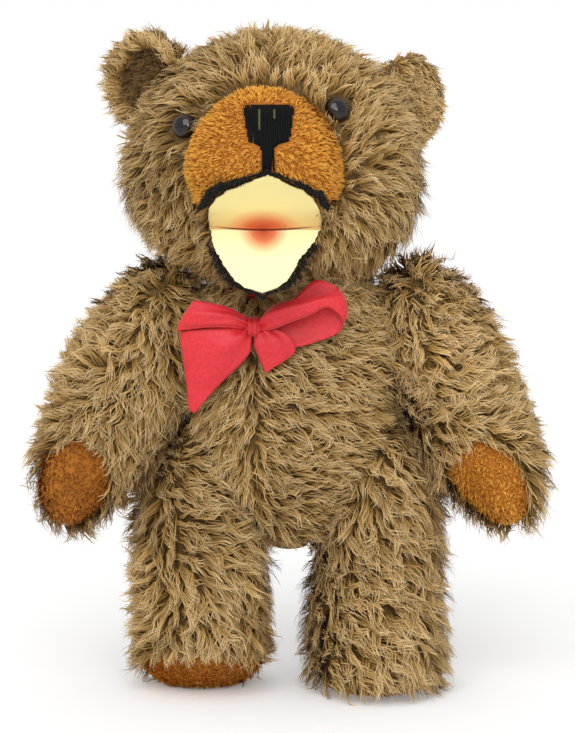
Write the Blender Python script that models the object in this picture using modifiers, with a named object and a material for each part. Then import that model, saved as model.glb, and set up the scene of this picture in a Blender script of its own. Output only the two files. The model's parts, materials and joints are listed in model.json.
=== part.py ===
# Jointed long-pile plush bear with an open mouth, real size in metres, +Z up, facing -Y.
# Sides are the bear's own: its left is at +X.

import math

import bmesh
import bpy
from mathutils import Matrix, Vector
from mathutils.bvhtree import BVHTree

# Fits shared by the pieces
GAP = 0.0003
FABRIC = 0.0020
PAD_THICKNESS = 0.0024
LINING_THICKNESS = 0.0015

# Body
NECK_HEIGHT = 0.262
BELLY_HALF_WIDTH = 0.069
BELLY_HALF_DEPTH = 0.052
CROTCH_HEIGHT = 0.084

# Joint faces: where the limbs turn against the body
SHOULDER_OUT = 0.060
SHOULDER_HEIGHT = 0.228
SHOULDER_TILT = math.radians(8)
HIP_OUT = 0.038
HIP_HEIGHT = 0.140
HIP_TILT = math.radians(-28)

# Head, measured from the neck face
HEAD_HEIGHT = 0.150
HEAD_HALF_WIDTH = 0.090
HEAD_HALF_DEPTH = 0.072
HEAD_SHIFT = -0.0105
HEAD_TURN = math.radians(-3)
MUZZLE_CENTRE = Vector((-0.0115, -0.066, 0.063))
MUZZLE_RADII = Vector((0.047, 0.046, 0.052))
MUZZLE_BACK = -0.056
MUZZLE_FOOT = 0.035
NOSE_SHIFT = 0.0019
MOUTH_CREASE = Vector((-0.0115, -0.066, 0.031))
PALATE_RISE = math.radians(36)
JAW_DROP = math.radians(46)
JAW_LENGTH = 0.055
LIP_WIDTH = 0.0030
LIP_THICKNESS = 0.0018
EYE_RADIUS = 0.0072
EAR_HALF_WIDTH = 0.027
EAR_HALF_HEIGHT = 0.031
EAR_HALF_DEPTH = 0.0085

# Disc joints
NECK_DISC_RADIUS = 0.024
SHOULDER_DISC_RADIUS = 0.0155
HIP_DISC_RADIUS = 0.020
DISC_THICKNESS = 0.0030
WASHER_RADIUS = 0.0075
WASHER_THICKNESS = 0.0010
PIN_WIRE_RADIUS = 0.0008
PIN_LEG_OFFSET = 0.0010
PIN_HOLE_RADIUS = 0.0023
PIN_ROOM_DEPTH = 0.0066
ROOM_STEPS = 12

# Ribbon
RIBBON_THICKNESS = 0.0010
BAND_HEIGHT = 0.0055
BAND_LEVEL = 0.2545
KNOT = Vector((-0.022, -0.0530, 0.2325))

X = Vector((1, 0, 0))
Y = Vector((0, 1, 0))
Z = Vector((0, 0, 1))


def mm(*values):
    return Vector([v * 0.001 for v in values])


def newMaterial(name, colour, roughness, metallic=0.0):
    mat = bpy.data.materials.new(name)
    mat.use_nodes = True
    shader = mat.node_tree.nodes["Principled BSDF"]
    shader.inputs["Base Color"].default_value = (*colour, 1)
    shader.inputs["Roughness"].default_value = roughness
    shader.inputs["Metallic"].default_value = metallic
    mat.diffuse_color = (*colour, 1)
    return mat


def newObject(name, bm):
    bmesh.ops.recalc_face_normals(bm, faces=bm.faces)
    mesh = bpy.data.meshes.new(name)
    bm.to_mesh(mesh)
    bm.free()
    obj = bpy.data.objects.new(name, mesh)
    bench.objects.link(obj)
    return obj


def bake(obj):
    bpy.context.view_layer.update()
    graph = bpy.context.evaluated_depsgraph_get()
    mesh = bpy.data.meshes.new_from_object(obj.evaluated_get(graph))
    old = obj.data
    obj.modifiers.clear()
    obj.data = mesh
    bpy.data.meshes.remove(old)
    return obj


def copied(obj, name="copy"):
    twin = obj.copy()
    twin.data = obj.data.copy()
    twin.name = name
    bench.objects.link(twin)
    return twin


def discard(*objs):
    for obj in objs:
        bpy.data.objects.remove(obj)


def subdivided(obj, levels):
    mod = obj.modifiers.new("form", "SUBSURF")
    mod.levels = levels
    mod.render_levels = levels
    return bake(obj)


def grown(obj, distance, name="grown"):
    twin = copied(obj, name)
    mod = twin.modifiers.new("grow", "DISPLACE")
    mod.strength = distance
    mod.mid_level = 0.0
    return bake(twin)


def tidied(obj):
    bm = bmesh.new()
    bm.from_mesh(obj.data)
    bmesh.ops.remove_doubles(bm, verts=bm.verts, dist=0.00003)
    bmesh.ops.dissolve_degenerate(bm, edges=bm.edges, dist=0.00003)
    bmesh.ops.triangulate(bm, faces=[f for f in bm.faces if len(f.verts) > 4])
    bm.to_mesh(obj.data)
    bm.free()
    return obj


def joined(obj, tool, operation):
    mod = obj.modifiers.new("join", "BOOLEAN")
    mod.object = tool
    mod.operation = operation
    mod.solver = "EXACT"
    return tidied(bake(obj))


def minus(obj, tool):
    return joined(obj, tool, "DIFFERENCE")


def plus(obj, tool):
    return joined(obj, tool, "UNION")


def common(obj, tool):
    return joined(obj, tool, "INTERSECT")


# A stuffed form: oval rings along a spine between two end points.
def lofted(name, start, rings, end, count):
    bm = bmesh.new()
    loops = []
    for centre, u, v in rings:
        loop = []
        for k in range(count):
            turn = 2 * math.pi * (k + 0.5) / count
            loop.append(bm.verts.new(centre + u * math.cos(turn) + v * math.sin(turn)))
        loops.append(loop)
    for lower, upper in zip(loops, loops[1:]):
        for k in range(count):
            j = (k + 1) % count
            bm.faces.new((lower[k], lower[j], upper[j], upper[k]))
    for point, loop in ((start, loops[0]), (end, loops[-1])):
        tip = bm.verts.new(point)
        for k in range(count):
            bm.faces.new((loop[k], loop[(k + 1) % count], tip))
    return newObject(name, bm)


# Cuts everything beyond a plane away and closes the flat face.
def cutFlat(obj, point, normal):
    bm = bmesh.new()
    bm.from_mesh(obj.data)
    geom = bm.verts[:] + bm.edges[:] + bm.faces[:]
    found = bmesh.ops.bisect_plane(
        bm, geom=geom, dist=0.000001, plane_co=point, plane_no=normal, clear_outer=True
    )
    rim = [g for g in found["geom_cut"] if isinstance(g, bmesh.types.BMEdge)]
    bmesh.ops.contextual_create(bm, geom=rim)
    bmesh.ops.remove_doubles(bm, verts=bm.verts, dist=0.00003)
    bmesh.ops.triangulate(bm, faces=[f for f in bm.faces if len(f.verts) > 4])
    bmesh.ops.recalc_face_normals(bm, faces=bm.faces)
    bm.to_mesh(obj.data)
    bm.free()
    return obj


def boxed(name, low, high):
    bm = bmesh.new()
    bmesh.ops.create_cube(bm, size=1)
    size = high - low
    bmesh.ops.scale(bm, vec=size, verts=bm.verts)
    bmesh.ops.translate(bm, vec=(low + high) / 2, verts=bm.verts)
    return newObject(name, bm)


# A flat outline in the local XZ plane, drawn out along local Y.
def prism(name, outline, near, far):
    bm = bmesh.new()
    face = bm.faces.new([bm.verts.new((x, near, z)) for x, z in outline])
    drawn = bmesh.ops.extrude_face_region(bm, geom=[face])
    moved = [g for g in drawn["geom"] if isinstance(g, bmesh.types.BMVert)]
    bmesh.ops.translate(bm, vec=(0, far - near, 0), verts=moved)
    return newObject(name, bm)


# A profile in the YZ plane, drawn out along X to both sides of a centre.
def crossPrism(name, outline, centre, halfWidth):
    bm = bmesh.new()
    face = bm.faces.new([bm.verts.new((centre - halfWidth, y, z)) for y, z in outline])
    drawn = bmesh.ops.extrude_face_region(bm, geom=[face])
    moved = [g for g in drawn["geom"] if isinstance(g, bmesh.types.BMVert)]
    bmesh.ops.translate(bm, vec=(2 * halfWidth, 0, 0), verts=moved)
    return newObject(name, bm)


def ellipsoid(name, centre, radii, around, up):
    bm = bmesh.new()
    facing = Matrix.Rotation(math.pi / 2, 4, "X")
    bmesh.ops.create_uvsphere(bm, u_segments=around, v_segments=up, radius=1, matrix=facing)
    bmesh.ops.scale(bm, vec=radii, verts=bm.verts)
    bmesh.ops.translate(bm, vec=centre, verts=bm.verts)
    return newObject(name, bm)


# A turned solid about local Z: the profile runs from the top to the bottom at +X.
def turned(name, profile, steps):
    bm = bmesh.new()
    points = [bm.verts.new((r, 0, z)) for r, z in profile]
    for upper, lower in zip(points, points[1:]):
        bm.edges.new((upper, lower))
    if profile[0][0] > 0 and profile[-1][0] > 0:
        bm.edges.new((points[-1], points[0]))
    obj = newObject(name, bm)
    mod = obj.modifiers.new("turn", "SCREW")
    mod.steps = steps
    mod.render_steps = steps
    mod.use_merge_vertices = True
    mod.merge_threshold = 0.00005
    bake(obj)
    bm = bmesh.new()
    bm.from_mesh(obj.data)
    bmesh.ops.remove_doubles(bm, verts=bm.verts, dist=0.00005)
    bmesh.ops.recalc_face_normals(bm, faces=bm.faces)
    bm.to_mesh(obj.data)
    bm.free()
    return obj


def placed(obj, matrix):
    obj.data.transform(matrix)
    return obj


# Where a straight line from the front meets a form, and which way the surface faces there.
def frontOf(obj, x, z):
    bm = bmesh.new()
    bm.from_mesh(obj.data)
    tree = BVHTree.FromBMesh(bm)
    hit, normal, _, _ = tree.ray_cast(Vector((x, -1, z)), Y)
    bm.free()
    return hit, normal


def finished(obj, name, mat, joint=None):
    obj.name = name
    obj.data.name = name
    obj.data.materials.clear()
    obj.data.materials.append(mat)
    for face in obj.data.polygons:
        face.use_smooth = True
        face.material_index = 0
    bench.objects.unlink(obj)
    bear.objects.link(obj)
    if joint:
        obj.data.transform(joint.matrix_world.inverted())
        obj.parent = joint
    return obj


def jointEmpty(name, matrix):
    empty = bpy.data.objects.new(name, None)
    empty.empty_display_size = 0.03
    empty.matrix_world = matrix
    bear.objects.link(empty)
    bpy.context.view_layer.update()
    return empty


# A frame whose local Z is the joint's axis, pointing from the body into the limb.
def axisFrame(point, axis):
    across = Y
    third = across.cross(axis).normalized()
    return Matrix.Translation(point) @ Matrix((third, across, axis)).transposed().to_4x4()


# The room for one side of a disc joint, opening at the joint face through the pin's hole.
def jointRoom(discRadius, matrix):
    discEnd = FABRIC + DISC_THICKNESS + 2 * GAP
    roomEnd = discEnd + WASHER_THICKNESS + PIN_ROOM_DEPTH
    flats = 1 / math.cos(math.pi / ROOM_STEPS)
    pinRoom = (WASHER_RADIUS + 2 * GAP) * flats
    discRoom = (discRadius + 2 * GAP) * flats
    profile = (
        (0, roomEnd),
        (pinRoom, roomEnd),
        (pinRoom, discEnd),
        (discRoom, discEnd),
        (discRoom, FABRIC),
        (PIN_HOLE_RADIUS, FABRIC),
        (PIN_HOLE_RADIUS, -0.002),
        (0, -0.002),
    )
    return placed(turned("room", profile, ROOM_STEPS), matrix)


def ringPlate(name, radius, low, high, steps):
    profile = ((PIN_HOLE_RADIUS, high), (radius, high), (radius, low), (PIN_HOLE_RADIUS, low))
    return turned(name, profile, steps)


# A split pin: an eye on the limb's side, two legs through the faces, their ends curled on the body's side.
def splitPin(name):
    reach = FABRIC + DISC_THICKNESS + WASHER_THICKNESS + 2 * GAP
    rest = reach + GAP + PIN_WIRE_RADIUS
    half = [
        (0.0052, -rest - 0.0001),
        (0.0054, -rest - 0.0020),
        (0.0032, -rest - 0.0026),
        (PIN_LEG_OFFSET, -reach - 0.0004),
        (PIN_LEG_OFFSET, reach - 0.0004),
        (0.0032, rest + 0.0012),
        (0.0022, rest + 0.0042),
    ]
    path = half + [(-x, z) for x, z in reversed(half)]
    curve = bpy.data.curves.new(name, "CURVE")
    curve.dimensions = "3D"
    curve.bevel_depth = PIN_WIRE_RADIUS
    curve.bevel_resolution = 1
    curve.use_fill_caps = True
    line = curve.splines.new("POLY")
    line.points.add(len(path) - 1)
    for point, (x, z) in zip(line.points, path):
        point.co = (x, 0, z, 1)
    source = bpy.data.objects.new(name, curve)
    bench.objects.link(source)
    bpy.context.view_layer.update()
    graph = bpy.context.evaluated_depsgraph_get()
    mesh = bpy.data.meshes.new_from_object(source.evaluated_get(graph))
    bpy.data.objects.remove(source)
    obj = bpy.data.objects.new(name, mesh)
    bench.objects.link(obj)
    return tidied(obj)


def jointHardware(prefix, discRadius, matrix, joint):
    discLow = FABRIC + GAP
    discHigh = discLow + DISC_THICKNESS
    washerLow = discHigh + GAP
    washerHigh = washerLow + WASHER_THICKNESS
    flip = matrix @ Matrix.Rotation(math.pi, 4, "X")
    for side, frame, owner in (("limb", matrix, joint), ("body", flip, None)):
        disc = placed(ringPlate("disc", discRadius, discLow, discHigh, 14), frame)
        finished(disc, prefix + "_" + side + "_disc", hardboard, owner)
        washer = placed(ringPlate("washer", WASHER_RADIUS, washerLow, washerHigh, 10), frame)
        finished(washer, prefix + "_" + side + "_washer", steel, owner)
    finished(placed(splitPin("pin"), matrix), prefix + "_pin", steel, joint)


# A sewn-on pad: the limb's own surface inside an outline, to the pad's thickness.
def sewnPad(name, limb, smooth, region, roomyRegion, flatAt=None):
    inner = grown(smooth, -PAD_THICKNESS)
    deeper = grown(smooth, -PAD_THICKNESS - GAP)
    if flatAt is not None:
        cutFlat(inner, Vector((0, 0, flatAt + PAD_THICKNESS)), -Z)
        cutFlat(deeper, Vector((0, 0, flatAt + PAD_THICKNESS + GAP)), -Z)
    pad = common(copied(limb, name), region)
    minus(pad, inner)
    minus(roomyRegion, deeper)
    minus(limb, roomyRegion)
    discard(inner, deeper, region, roomyRegion)
    return pad


def ovalOutline(centre, along, across, direction, count):
    side = Vector((direction[1], -direction[0]))
    points = []
    for k in range(count):
        turn = 2 * math.pi * k / count
        a = along * math.cos(turn)
        b = across * math.sin(turn)
        points.append((
            centre[0] + direction[0] * a + side[0] * b,
            centre[1] + direction[1] * a + side[1] * b,
        ))
    return points


def buildTorso():
    w = BELLY_HALF_WIDTH
    d = BELLY_HALF_DEPTH
    low = CROTCH_HEIGHT
    rise = NECK_HEIGHT - low
    # share of the height, half width, half depth, how far back
    sections = (
        (0.045, 0.30, 0.44, 0.000),
        (0.155, 0.62, 0.74, -0.001),
        (0.315, 0.86, 0.90, -0.004),
        (0.480, 0.97, 0.99, -0.006),
        (0.650, 1.02, 1.02, -0.005),
        (0.800, 1.04, 0.95, -0.002),
        (0.895, 0.92, 0.84, 0.000),
        (0.955, 0.70, 0.76, 0.001),
        (1.010, 0.57, 0.68, 0.001),
        (1.070, 0.50, 0.60, 0.001),
    )
    rings = []
    for share, wide, deep, back in sections:
        rings.append((Vector((0, back, low + rise * share)), X * w * wide, Y * d * deep))
    form = lofted("torso_form", Vector((0, 0, low)), rings, Vector((0, 0.001, NECK_HEIGHT + 0.018)), 12)
    return subdivided(form, 1)


def buildHead():
    w = HEAD_HALF_WIDTH * 1.02
    d = HEAD_HALF_DEPTH * 1.02
    h = HEAD_HEIGHT
    sections = (
        (-0.02, 0.40, 0.46, 0.003),
        (0.06, 0.66, 0.70, 0.000),
        (0.16, 0.88, 0.88, -0.004),
        (0.30, 1.00, 0.98, -0.005),
        (0.46, 1.01, 1.01, -0.004),
        (0.62, 0.96, 0.99, -0.002),
        (0.77, 0.83, 0.89, 0.000),
        (0.89, 0.62, 0.71, 0.002),
        (0.97, 0.34, 0.40, 0.003),
    )
    rings = []
    for share, wide, deep, back in sections:
        centre = Vector((HEAD_SHIFT * min(1, share * 4 + 0.2), back, h * share))
        rings.append((centre, X * w * wide, Y * d * deep))
    start = Vector((0, 0.003, -0.016))
    end = Vector((HEAD_SHIFT, 0.003, h))
    return subdivided(lofted("head_form", start, rings, end, 14), 1)


def buildJaw():
    along = Vector((0, -math.cos(JAW_DROP), -math.sin(JAW_DROP)))
    under = Vector((0, math.sin(JAW_DROP), -math.cos(JAW_DROP)))
    sections = (
        (-0.40, 0.038, 0.031),
        (-0.05, 0.036, 0.027),
        (0.28, 0.0295, 0.0205),
        (0.56, 0.0225, 0.0155),
        (0.80, 0.0165, 0.0105),
        (0.95, 0.0095, 0.006),
    )
    rings = []
    for share, wide, deep in sections:
        centre = MOUTH_CREASE + along * JAW_LENGTH * share
        rings.append((centre, X * wide, under * deep))
    start = MOUTH_CREASE - along * JAW_LENGTH * 0.6
    end = MOUTH_CREASE + along * JAW_LENGTH
    return subdivided(lofted("jaw_form", start, rings, end, 10), 1)


# The wedge between palate and lower jaw, moved in from both faces by a distance.
def mouthWedge(name, inset, reach=0.11, width=0.075):
    half = (PALATE_RISE + JAW_DROP) / 2
    middle = (PALATE_RISE - JAW_DROP) / 2
    back = inset / math.sin(half)
    y = MOUTH_CREASE.y - back * math.cos(middle)
    z = MOUTH_CREASE.z + back * math.sin(middle)
    top = (y - reach * math.cos(PALATE_RISE), z + reach * math.sin(PALATE_RISE))
    bottom = (y - reach * math.cos(JAW_DROP), z - reach * math.sin(JAW_DROP))
    return crossPrism(name, ((y, z), top, bottom), MOUTH_CREASE.x, width)


# The layer between two wedge depths on one face of the mouth.
def mouthLayer(name, rise, upward, depth, reach=0.11, width=0.075):
    sign = 1 if upward else -1
    y, z = MOUTH_CREASE.y, MOUTH_CREASE.z
    dy, dz = -math.cos(rise), sign * math.sin(rise)
    ny, nz = sign * math.sin(rise), math.cos(rise)
    if not upward:
        ny, nz = math.sin(rise), -math.cos(rise)
    outline = (
        (y - dy * 0.03, z - dz * 0.03),
        (y + dy * reach, z + dz * reach),
        (y + dy * reach + ny * depth, z + dz * reach + nz * depth),
        (y - dy * 0.03 + ny * depth, z - dz * 0.03 + nz * depth),
    )
    return crossPrism(name, outline, MOUTH_CREASE.x, width)


def buildArm(side, spread, fullness):
    # out, forward, height, half width in the arm's plane, half depth
    sections = (
        (0.082, 0.000, 0.262, 0.015, 0.017),
        (0.081, 0.000, 0.250, 0.026, 0.028),
        (0.085, -0.003, 0.231, 0.034, 0.034),
        (0.095, -0.011, 0.206, 0.037, 0.036),
        (0.108, -0.022, 0.180, 0.037, 0.035),
        (0.121, -0.034, 0.156, 0.031, 0.031),
        (0.131, -0.044, 0.135, 0.025, 0.027),
        (0.137, -0.051, 0.119, 0.016, 0.019),
    )
    outs = [SHOULDER_OUT + (s[0] - SHOULDER_OUT) * (spread if s[2] < 0.22 else 1) for s in sections]
    centres = [Vector((side * o, s[1], s[2])) for o, s in zip(outs, sections)]
    start = Vector((side * 0.082, 0, 0.269))
    end = Vector((side * (outs[-1] + 0.003), -0.056, 0.110))
    rings = []
    for k, section in enumerate(sections):
        before = centres[k - 1] if k else start
        after = centres[k + 1] if k + 1 < len(centres) else end
        spine = (after - before).normalized()
        v = spine.cross(X).normalized()
        u = v.cross(spine).normalized()
        size = fullness if 1 < k < 6 else 1
        rings.append((centres[k], u * section[3] * size, v * section[4]))
    form = subdivided(lofted("arm_form", start, rings, end, 10), 1)
    return form, centres


def buildLeg(side, toeLift):
    # height, how far out, how far forward, half width, half depth
    raised = (
        (0.168, 0.054, 0.000, 0.013, 0.016),
        (0.158, 0.058, 0.000, 0.0245, 0.028),
        (0.140, 0.059, 0.000, 0.0320, 0.037),
        (0.115, 0.058, 0.000, 0.0350, 0.039),
        (0.088, 0.056, -0.001, 0.038, 0.039),
        (0.060, 0.055, -0.005, 0.039, 0.042),
        (0.036, 0.055, -0.013, 0.040, 0.050),
        (0.018, 0.055, -0.006, 0.040, 0.044),
        (0.005, 0.055, 0.003, 0.037, 0.034),
    )
    level = (
        (0.060, 0.055, -0.005, 0.039, 0.042),
        (0.036, 0.055, -0.012, 0.040, 0.050),
        (0.018, 0.055, -0.013, 0.040, 0.052),
        (0.005, 0.055, -0.011, 0.038, 0.048),
    )
    sections = list(raised) if toeLift else list(raised[:5]) + list(level)
    rings = []
    for high, out, forward, wide, deep in sections:
        rings.append((Vector((side * out, forward, high)), X * wide, Y * deep))
    foot = sections[-1]
    start = Vector((side * 0.054, 0, 0.175))
    end = Vector((side * foot[1], foot[2], -0.006))
    return subdivided(lofted("leg_form", start, rings, end, 10), 1)


# A strip of ribbon through pairs of edge points.
def ribbonStrip(name, stations):
    bm = bmesh.new()
    rows = []
    for a, b in stations:
        a = mm(*a)
        b = mm(*b)
        rows.append([bm.verts.new(a), bm.verts.new(a.lerp(b, 0.5)), bm.verts.new(b)])
    for one, two in zip(rows, rows[1:]):
        for k in range(2):
            bm.faces.new((one[k], one[k + 1], two[k + 1], two[k]))
    obj = newObject(name, bm)
    mod = obj.modifiers.new("cloth", "SOLIDIFY")
    mod.thickness = RIBBON_THICKNESS
    mod.offset = 0
    return bake(obj)


def buildRibbon(torsoForm):
    outer = grown(torsoForm, 0.0006 + RIBBON_THICKNESS)
    inner = grown(torsoForm, 0.0006)
    tilt = Matrix.Translation((0, 0, BAND_LEVEL)) @ Matrix.Rotation(math.radians(5), 4, "X")
    slab = placed(boxed("slab", Vector((-0.1, -0.1, -BAND_HEIGHT / 2)), Vector((0.1, 0.1, BAND_HEIGHT / 2))), tilt)
    band = minus(common(outer, slab), inner)
    discard(slab)
    knot = ellipsoid("knot", KNOT, mm(7, 10.5, 8.5), 10, 7)
    neckEnds = ribbonStrip("ends", (
        ((-34, -32, 255), (-12, -36, 255)),
        ((-33, -39, 250), (-13, -43, 249)),
        ((-31, -45, 246), (-15, -48, 245)),
        ((-29, -51, 240), (-17, -53, 240)),
        ((-25, -54, 234), (-20, -55, 234)),
    ))
    leftLoop = ribbonStrip("loop", (
        ((-24, -59, 236), (-24, -58, 227)),
        ((-36, -58, 243), (-36, -56, 227)),
        ((-50, -59, 247), (-50, -57, 227)),
        ((-60, -61, 247), (-61, -61, 229)),
        ((-64, -65, 243), (-65, -65, 230)),
        ((-58, -69, 247), (-60, -70, 231)),
        ((-44, -71, 246), (-46, -72, 231)),
        ((-33, -68, 242), (-33, -69, 230)),
        ((-25, -63, 237), (-25, -63, 229)),
    ))
    rightLoop = ribbonStrip("loop", (
        ((-20, -63, 235), (-20, -63, 228)),
        ((-8, -68, 243), (-7, -69, 229)),
        ((8, -71, 249), (9, -73, 229)),
        ((22, -70, 253), (23, -72, 231)),
        ((31, -66, 254), (32, -67, 233)),
        ((30, -61, 253), (33, -61, 228)),
        ((17, -59, 254), (18, -57, 221)),
        ((0, -57, 247), (2, -56, 219)),
        ((-20, -58, 236), (-20, -58, 227)),
    ))
    leftTail = ribbonStrip("tail", (
        ((-26, -62, 232), (-21, -62, 226)),
        ((-44, -63, 232), (-22, -62, 219)),
        ((-62, -63, 228), (-29, -62, 211)),
        ((-63, -62, 210), (-41, -62, 200)),
        ((-62, -60, 194), (-52, -60, 189)),
        ((-60, -59, 180), (-57, -59, 179)),
    ))
    rightTail = ribbonStrip("tail", (
        ((-23, -62, 227), (-18, -62, 230)),
        ((-20, -62, 219), (-3, -62, 229)),
        ((-17, -62, 210), (6, -62, 221)),
        ((-14, -61, 203), (2, -61, 214)),
    ))
    for strip in (neckEnds, leftLoop, rightLoop, leftTail, rightTail):
        plus(knot, strip)
        discard(strip)
    minus(knot, inner)
    plus(band, knot)
    discard(knot, inner)
    return band


for obj in list(bpy.data.objects):
    bpy.data.objects.remove(obj)

bear = bpy.data.collections.new("plush_bear")
bench = bpy.data.collections.new("bench")
bpy.context.scene.collection.children.link(bear)
bpy.context.scene.collection.children.link(bench)

longPile = newMaterial("long_pile", (0.283, 0.178, 0.063), 0.95)
goldPile = newMaterial("gold_pile", (0.468, 0.178, 0.021), 0.95)
creamVelour = newMaterial("cream_velour", (0.92, 0.74, 0.28), 0.9)
blackYarn = newMaterial("black_yarn", (0.006, 0.006, 0.005), 0.8)
eyeGlass = newMaterial("eye_glass", (0.012, 0.007, 0.004), 0.08)
redRibbon = newMaterial("red_ribbon", (0.68, 0.03, 0.035), 0.65)
hardboard = newMaterial("hardboard", (0.23, 0.13, 0.06), 0.8)
steel = newMaterial("steel", (0.55, 0.55, 0.55), 0.35, 1.0)

# Joint frames
shoulderAxis = {s: Vector((s * math.cos(SHOULDER_TILT), 0, math.sin(SHOULDER_TILT))) for s in (1, -1)}
hipAxis = {s: Vector((s * math.cos(HIP_TILT), 0, math.sin(HIP_TILT))) for s in (1, -1)}
shoulderPoint = {s: Vector((s * SHOULDER_OUT, 0, SHOULDER_HEIGHT)) for s in (1, -1)}
hipPoint = {s: Vector((s * HIP_OUT, 0, HIP_HEIGHT)) for s in (1, -1)}
neckPoint = Vector((0, 0, NECK_HEIGHT))
sideName = {1: "left", -1: "right"}

# Body
torsoForm = buildTorso()
torso = copied(torsoForm, "torso")
cutFlat(torso, neckPoint - Z * GAP / 2, Z)
for s in (1, -1):
    cutFlat(torso, shoulderPoint[s] - shoulderAxis[s] * GAP / 2, shoulderAxis[s])
    cutFlat(torso, hipPoint[s] - hipAxis[s] * GAP / 2, hipAxis[s])
seats = [(neckPoint, Z, NECK_DISC_RADIUS)]
for s in (1, -1):
    seats.append((shoulderPoint[s], shoulderAxis[s], SHOULDER_DISC_RADIUS))
    seats.append((hipPoint[s], hipAxis[s], HIP_DISC_RADIUS))
for point, axis, radius in seats:
    room = jointRoom(radius, axisFrame(point, -axis))
    minus(torso, room)
    discard(room)
finished(torso, "torso", longPile)

# Ribbon round the neck, tied in a bow
finished(buildRibbon(torsoForm), "neck_ribbon", redRibbon)
discard(torsoForm)

# Head: the ball of the head and the lower jaw are one stuffed form
headForm = buildHead()
jawForm = buildJaw()
headWhole = plus(copied(headForm, "whole"), jawForm)
muzzleForm = ellipsoid("muzzle_form", MUZZLE_CENTRE, MUZZLE_RADII, 22, 12)
wedge = mouthWedge("wedge", 0)
head = copied(headWhole, "head")
minus(head, wedge)
pocket = grown(muzzleForm, GAP)
cutFlat(pocket, Vector((0, MUZZLE_BACK + GAP, 0)), Y)
cutFlat(pocket, Vector((0, 0, MUZZLE_FOOT - GAP)), -Z)
minus(head, pocket)
discard(pocket)
cutFlat(head, Vector((0, 0, GAP / 2)), -Z)

muzzle = copied(muzzleForm, "muzzle")
cutFlat(muzzle, Vector((0, MUZZLE_BACK, 0)), Y)
cutFlat(muzzle, Vector((0, 0, MUZZLE_FOOT)), -Z)
minus(muzzle, wedge)

# Lining: one folded piece over palate and jaw
liningOutline = grown(headWhole, -0.0012)
liningDome = grown(muzzleForm, -0.0008)
plus(liningOutline, liningDome)
lining = mouthWedge("lining", GAP)
inside = mouthWedge("inside", GAP + LINING_THICKNESS)
minus(lining, inside)
common(lining, liningOutline)
discard(inside, liningOutline, liningDome)

# Black edges of the mouth
headSeat = grown(headForm, GAP)
jawSeat = grown(jawForm, GAP)
upperLip = grown(muzzleForm, LIP_THICKNESS)
skinned = grown(muzzleForm, GAP)
minus(upperLip, skinned)
layer = mouthLayer("layer", PALATE_RISE, True, LIP_WIDTH)
common(upperLip, layer)
minus(upperLip, headSeat)
minus(upperLip, jawSeat)
cutFlat(upperLip, Vector((0, 0, MUZZLE_FOOT)), -Z)
discard(skinned, layer)
lowerLip = grown(jawForm, 0.0015)
skinned = grown(jawForm, GAP)
minus(lowerLip, skinned)
layer = mouthLayer("layer", JAW_DROP, False, LIP_WIDTH * 0.7)
common(lowerLip, layer)
minus(lowerLip, headSeat)
domeSeat = grown(muzzleForm, LIP_THICKNESS + GAP)
minus(lowerLip, domeSeat)
discard(skinned, layer, domeSeat)

# Nose and its stem, stitched on the muzzle as one patch
noseOutline = [(x * 0.001 + MUZZLE_CENTRE.x + NOSE_SHIFT, z * 0.001) for x, z in (
    (-11.5, 106), (11.5, 106), (15, 103.5), (15.6, 99), (13.6, 89), (11, 82), (7.5, 79.4), (3.4, 78.6),
    (3.0, 74), (3.4, 69.0), (-3.4, 69.0), (-3.0, 74), (-3.4, 78.6), (-7.5, 79.4), (-11, 82), (-13.6, 89),
    (-15.6, 99), (-15, 103.5),
)]
nose = prism("nose", noseOutline, -0.2, -0.07)
puff = grown(muzzleForm, 0.0026)
common(nose, puff)
skinned = grown(muzzleForm, GAP)
minus(nose, skinned)
discard(puff, skinned)

# Eyes in their sockets
eyes = {}
for s, x, z in ((-1, -0.0600, 0.0925), (1, 0.0315, 0.1025)):
    hit, normal = frontOf(headForm, x, z)
    centre = hit - normal * EYE_RADIUS * 0.15
    aim = normal.to_track_quat("Y", "Z").to_matrix().to_4x4()
    eye = ellipsoid("eye", Vector((0, 0, 0)), Vector((1, 0.72, 1)) * EYE_RADIUS, 12, 7)
    placed(eye, Matrix.Translation(centre) @ aim)
    socket = grown(eye, GAP)
    minus(head, socket)
    discard(socket)
    eyes[s] = eye

# Ears: cupped, seated on the head
ears = {}
for s, wide, high, outward, lean in ((-1, 0.844, 0.797, 22, 26), (1, 0.930, 0.720, 42, 36)):
    ear = ellipsoid("ear", Vector((0, 0, 0)), Vector((EAR_HALF_WIDTH, EAR_HALF_DEPTH, EAR_HALF_HEIGHT)), 14, 10)
    cup = ellipsoid("cup", Vector((0, -0.0095, 0.002)), Vector((EAR_HALF_WIDTH * 0.72, 0.0095, EAR_HALF_HEIGHT * 0.74)), 14, 10)
    minus(ear, cup)
    discard(cup)
    seat = Vector((HEAD_SHIFT + s * HEAD_HALF_WIDTH * wide, 0.004, HEAD_HEIGHT * high))
    pose = Matrix.Translation(seat) @ Matrix.Rotation(math.radians(s * outward), 4, "Z")
    placed(ear, pose @ Matrix.Rotation(math.radians(s * lean), 4, "Y"))
    minus(ear, headSeat)
    ears[s] = ear

neckRoom = jointRoom(NECK_DISC_RADIUS, Matrix.Identity(4))
minus(head, neckRoom)
discard(neckRoom, headSeat, jawSeat, headForm, headWhole, jawForm, muzzleForm, wedge)

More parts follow.
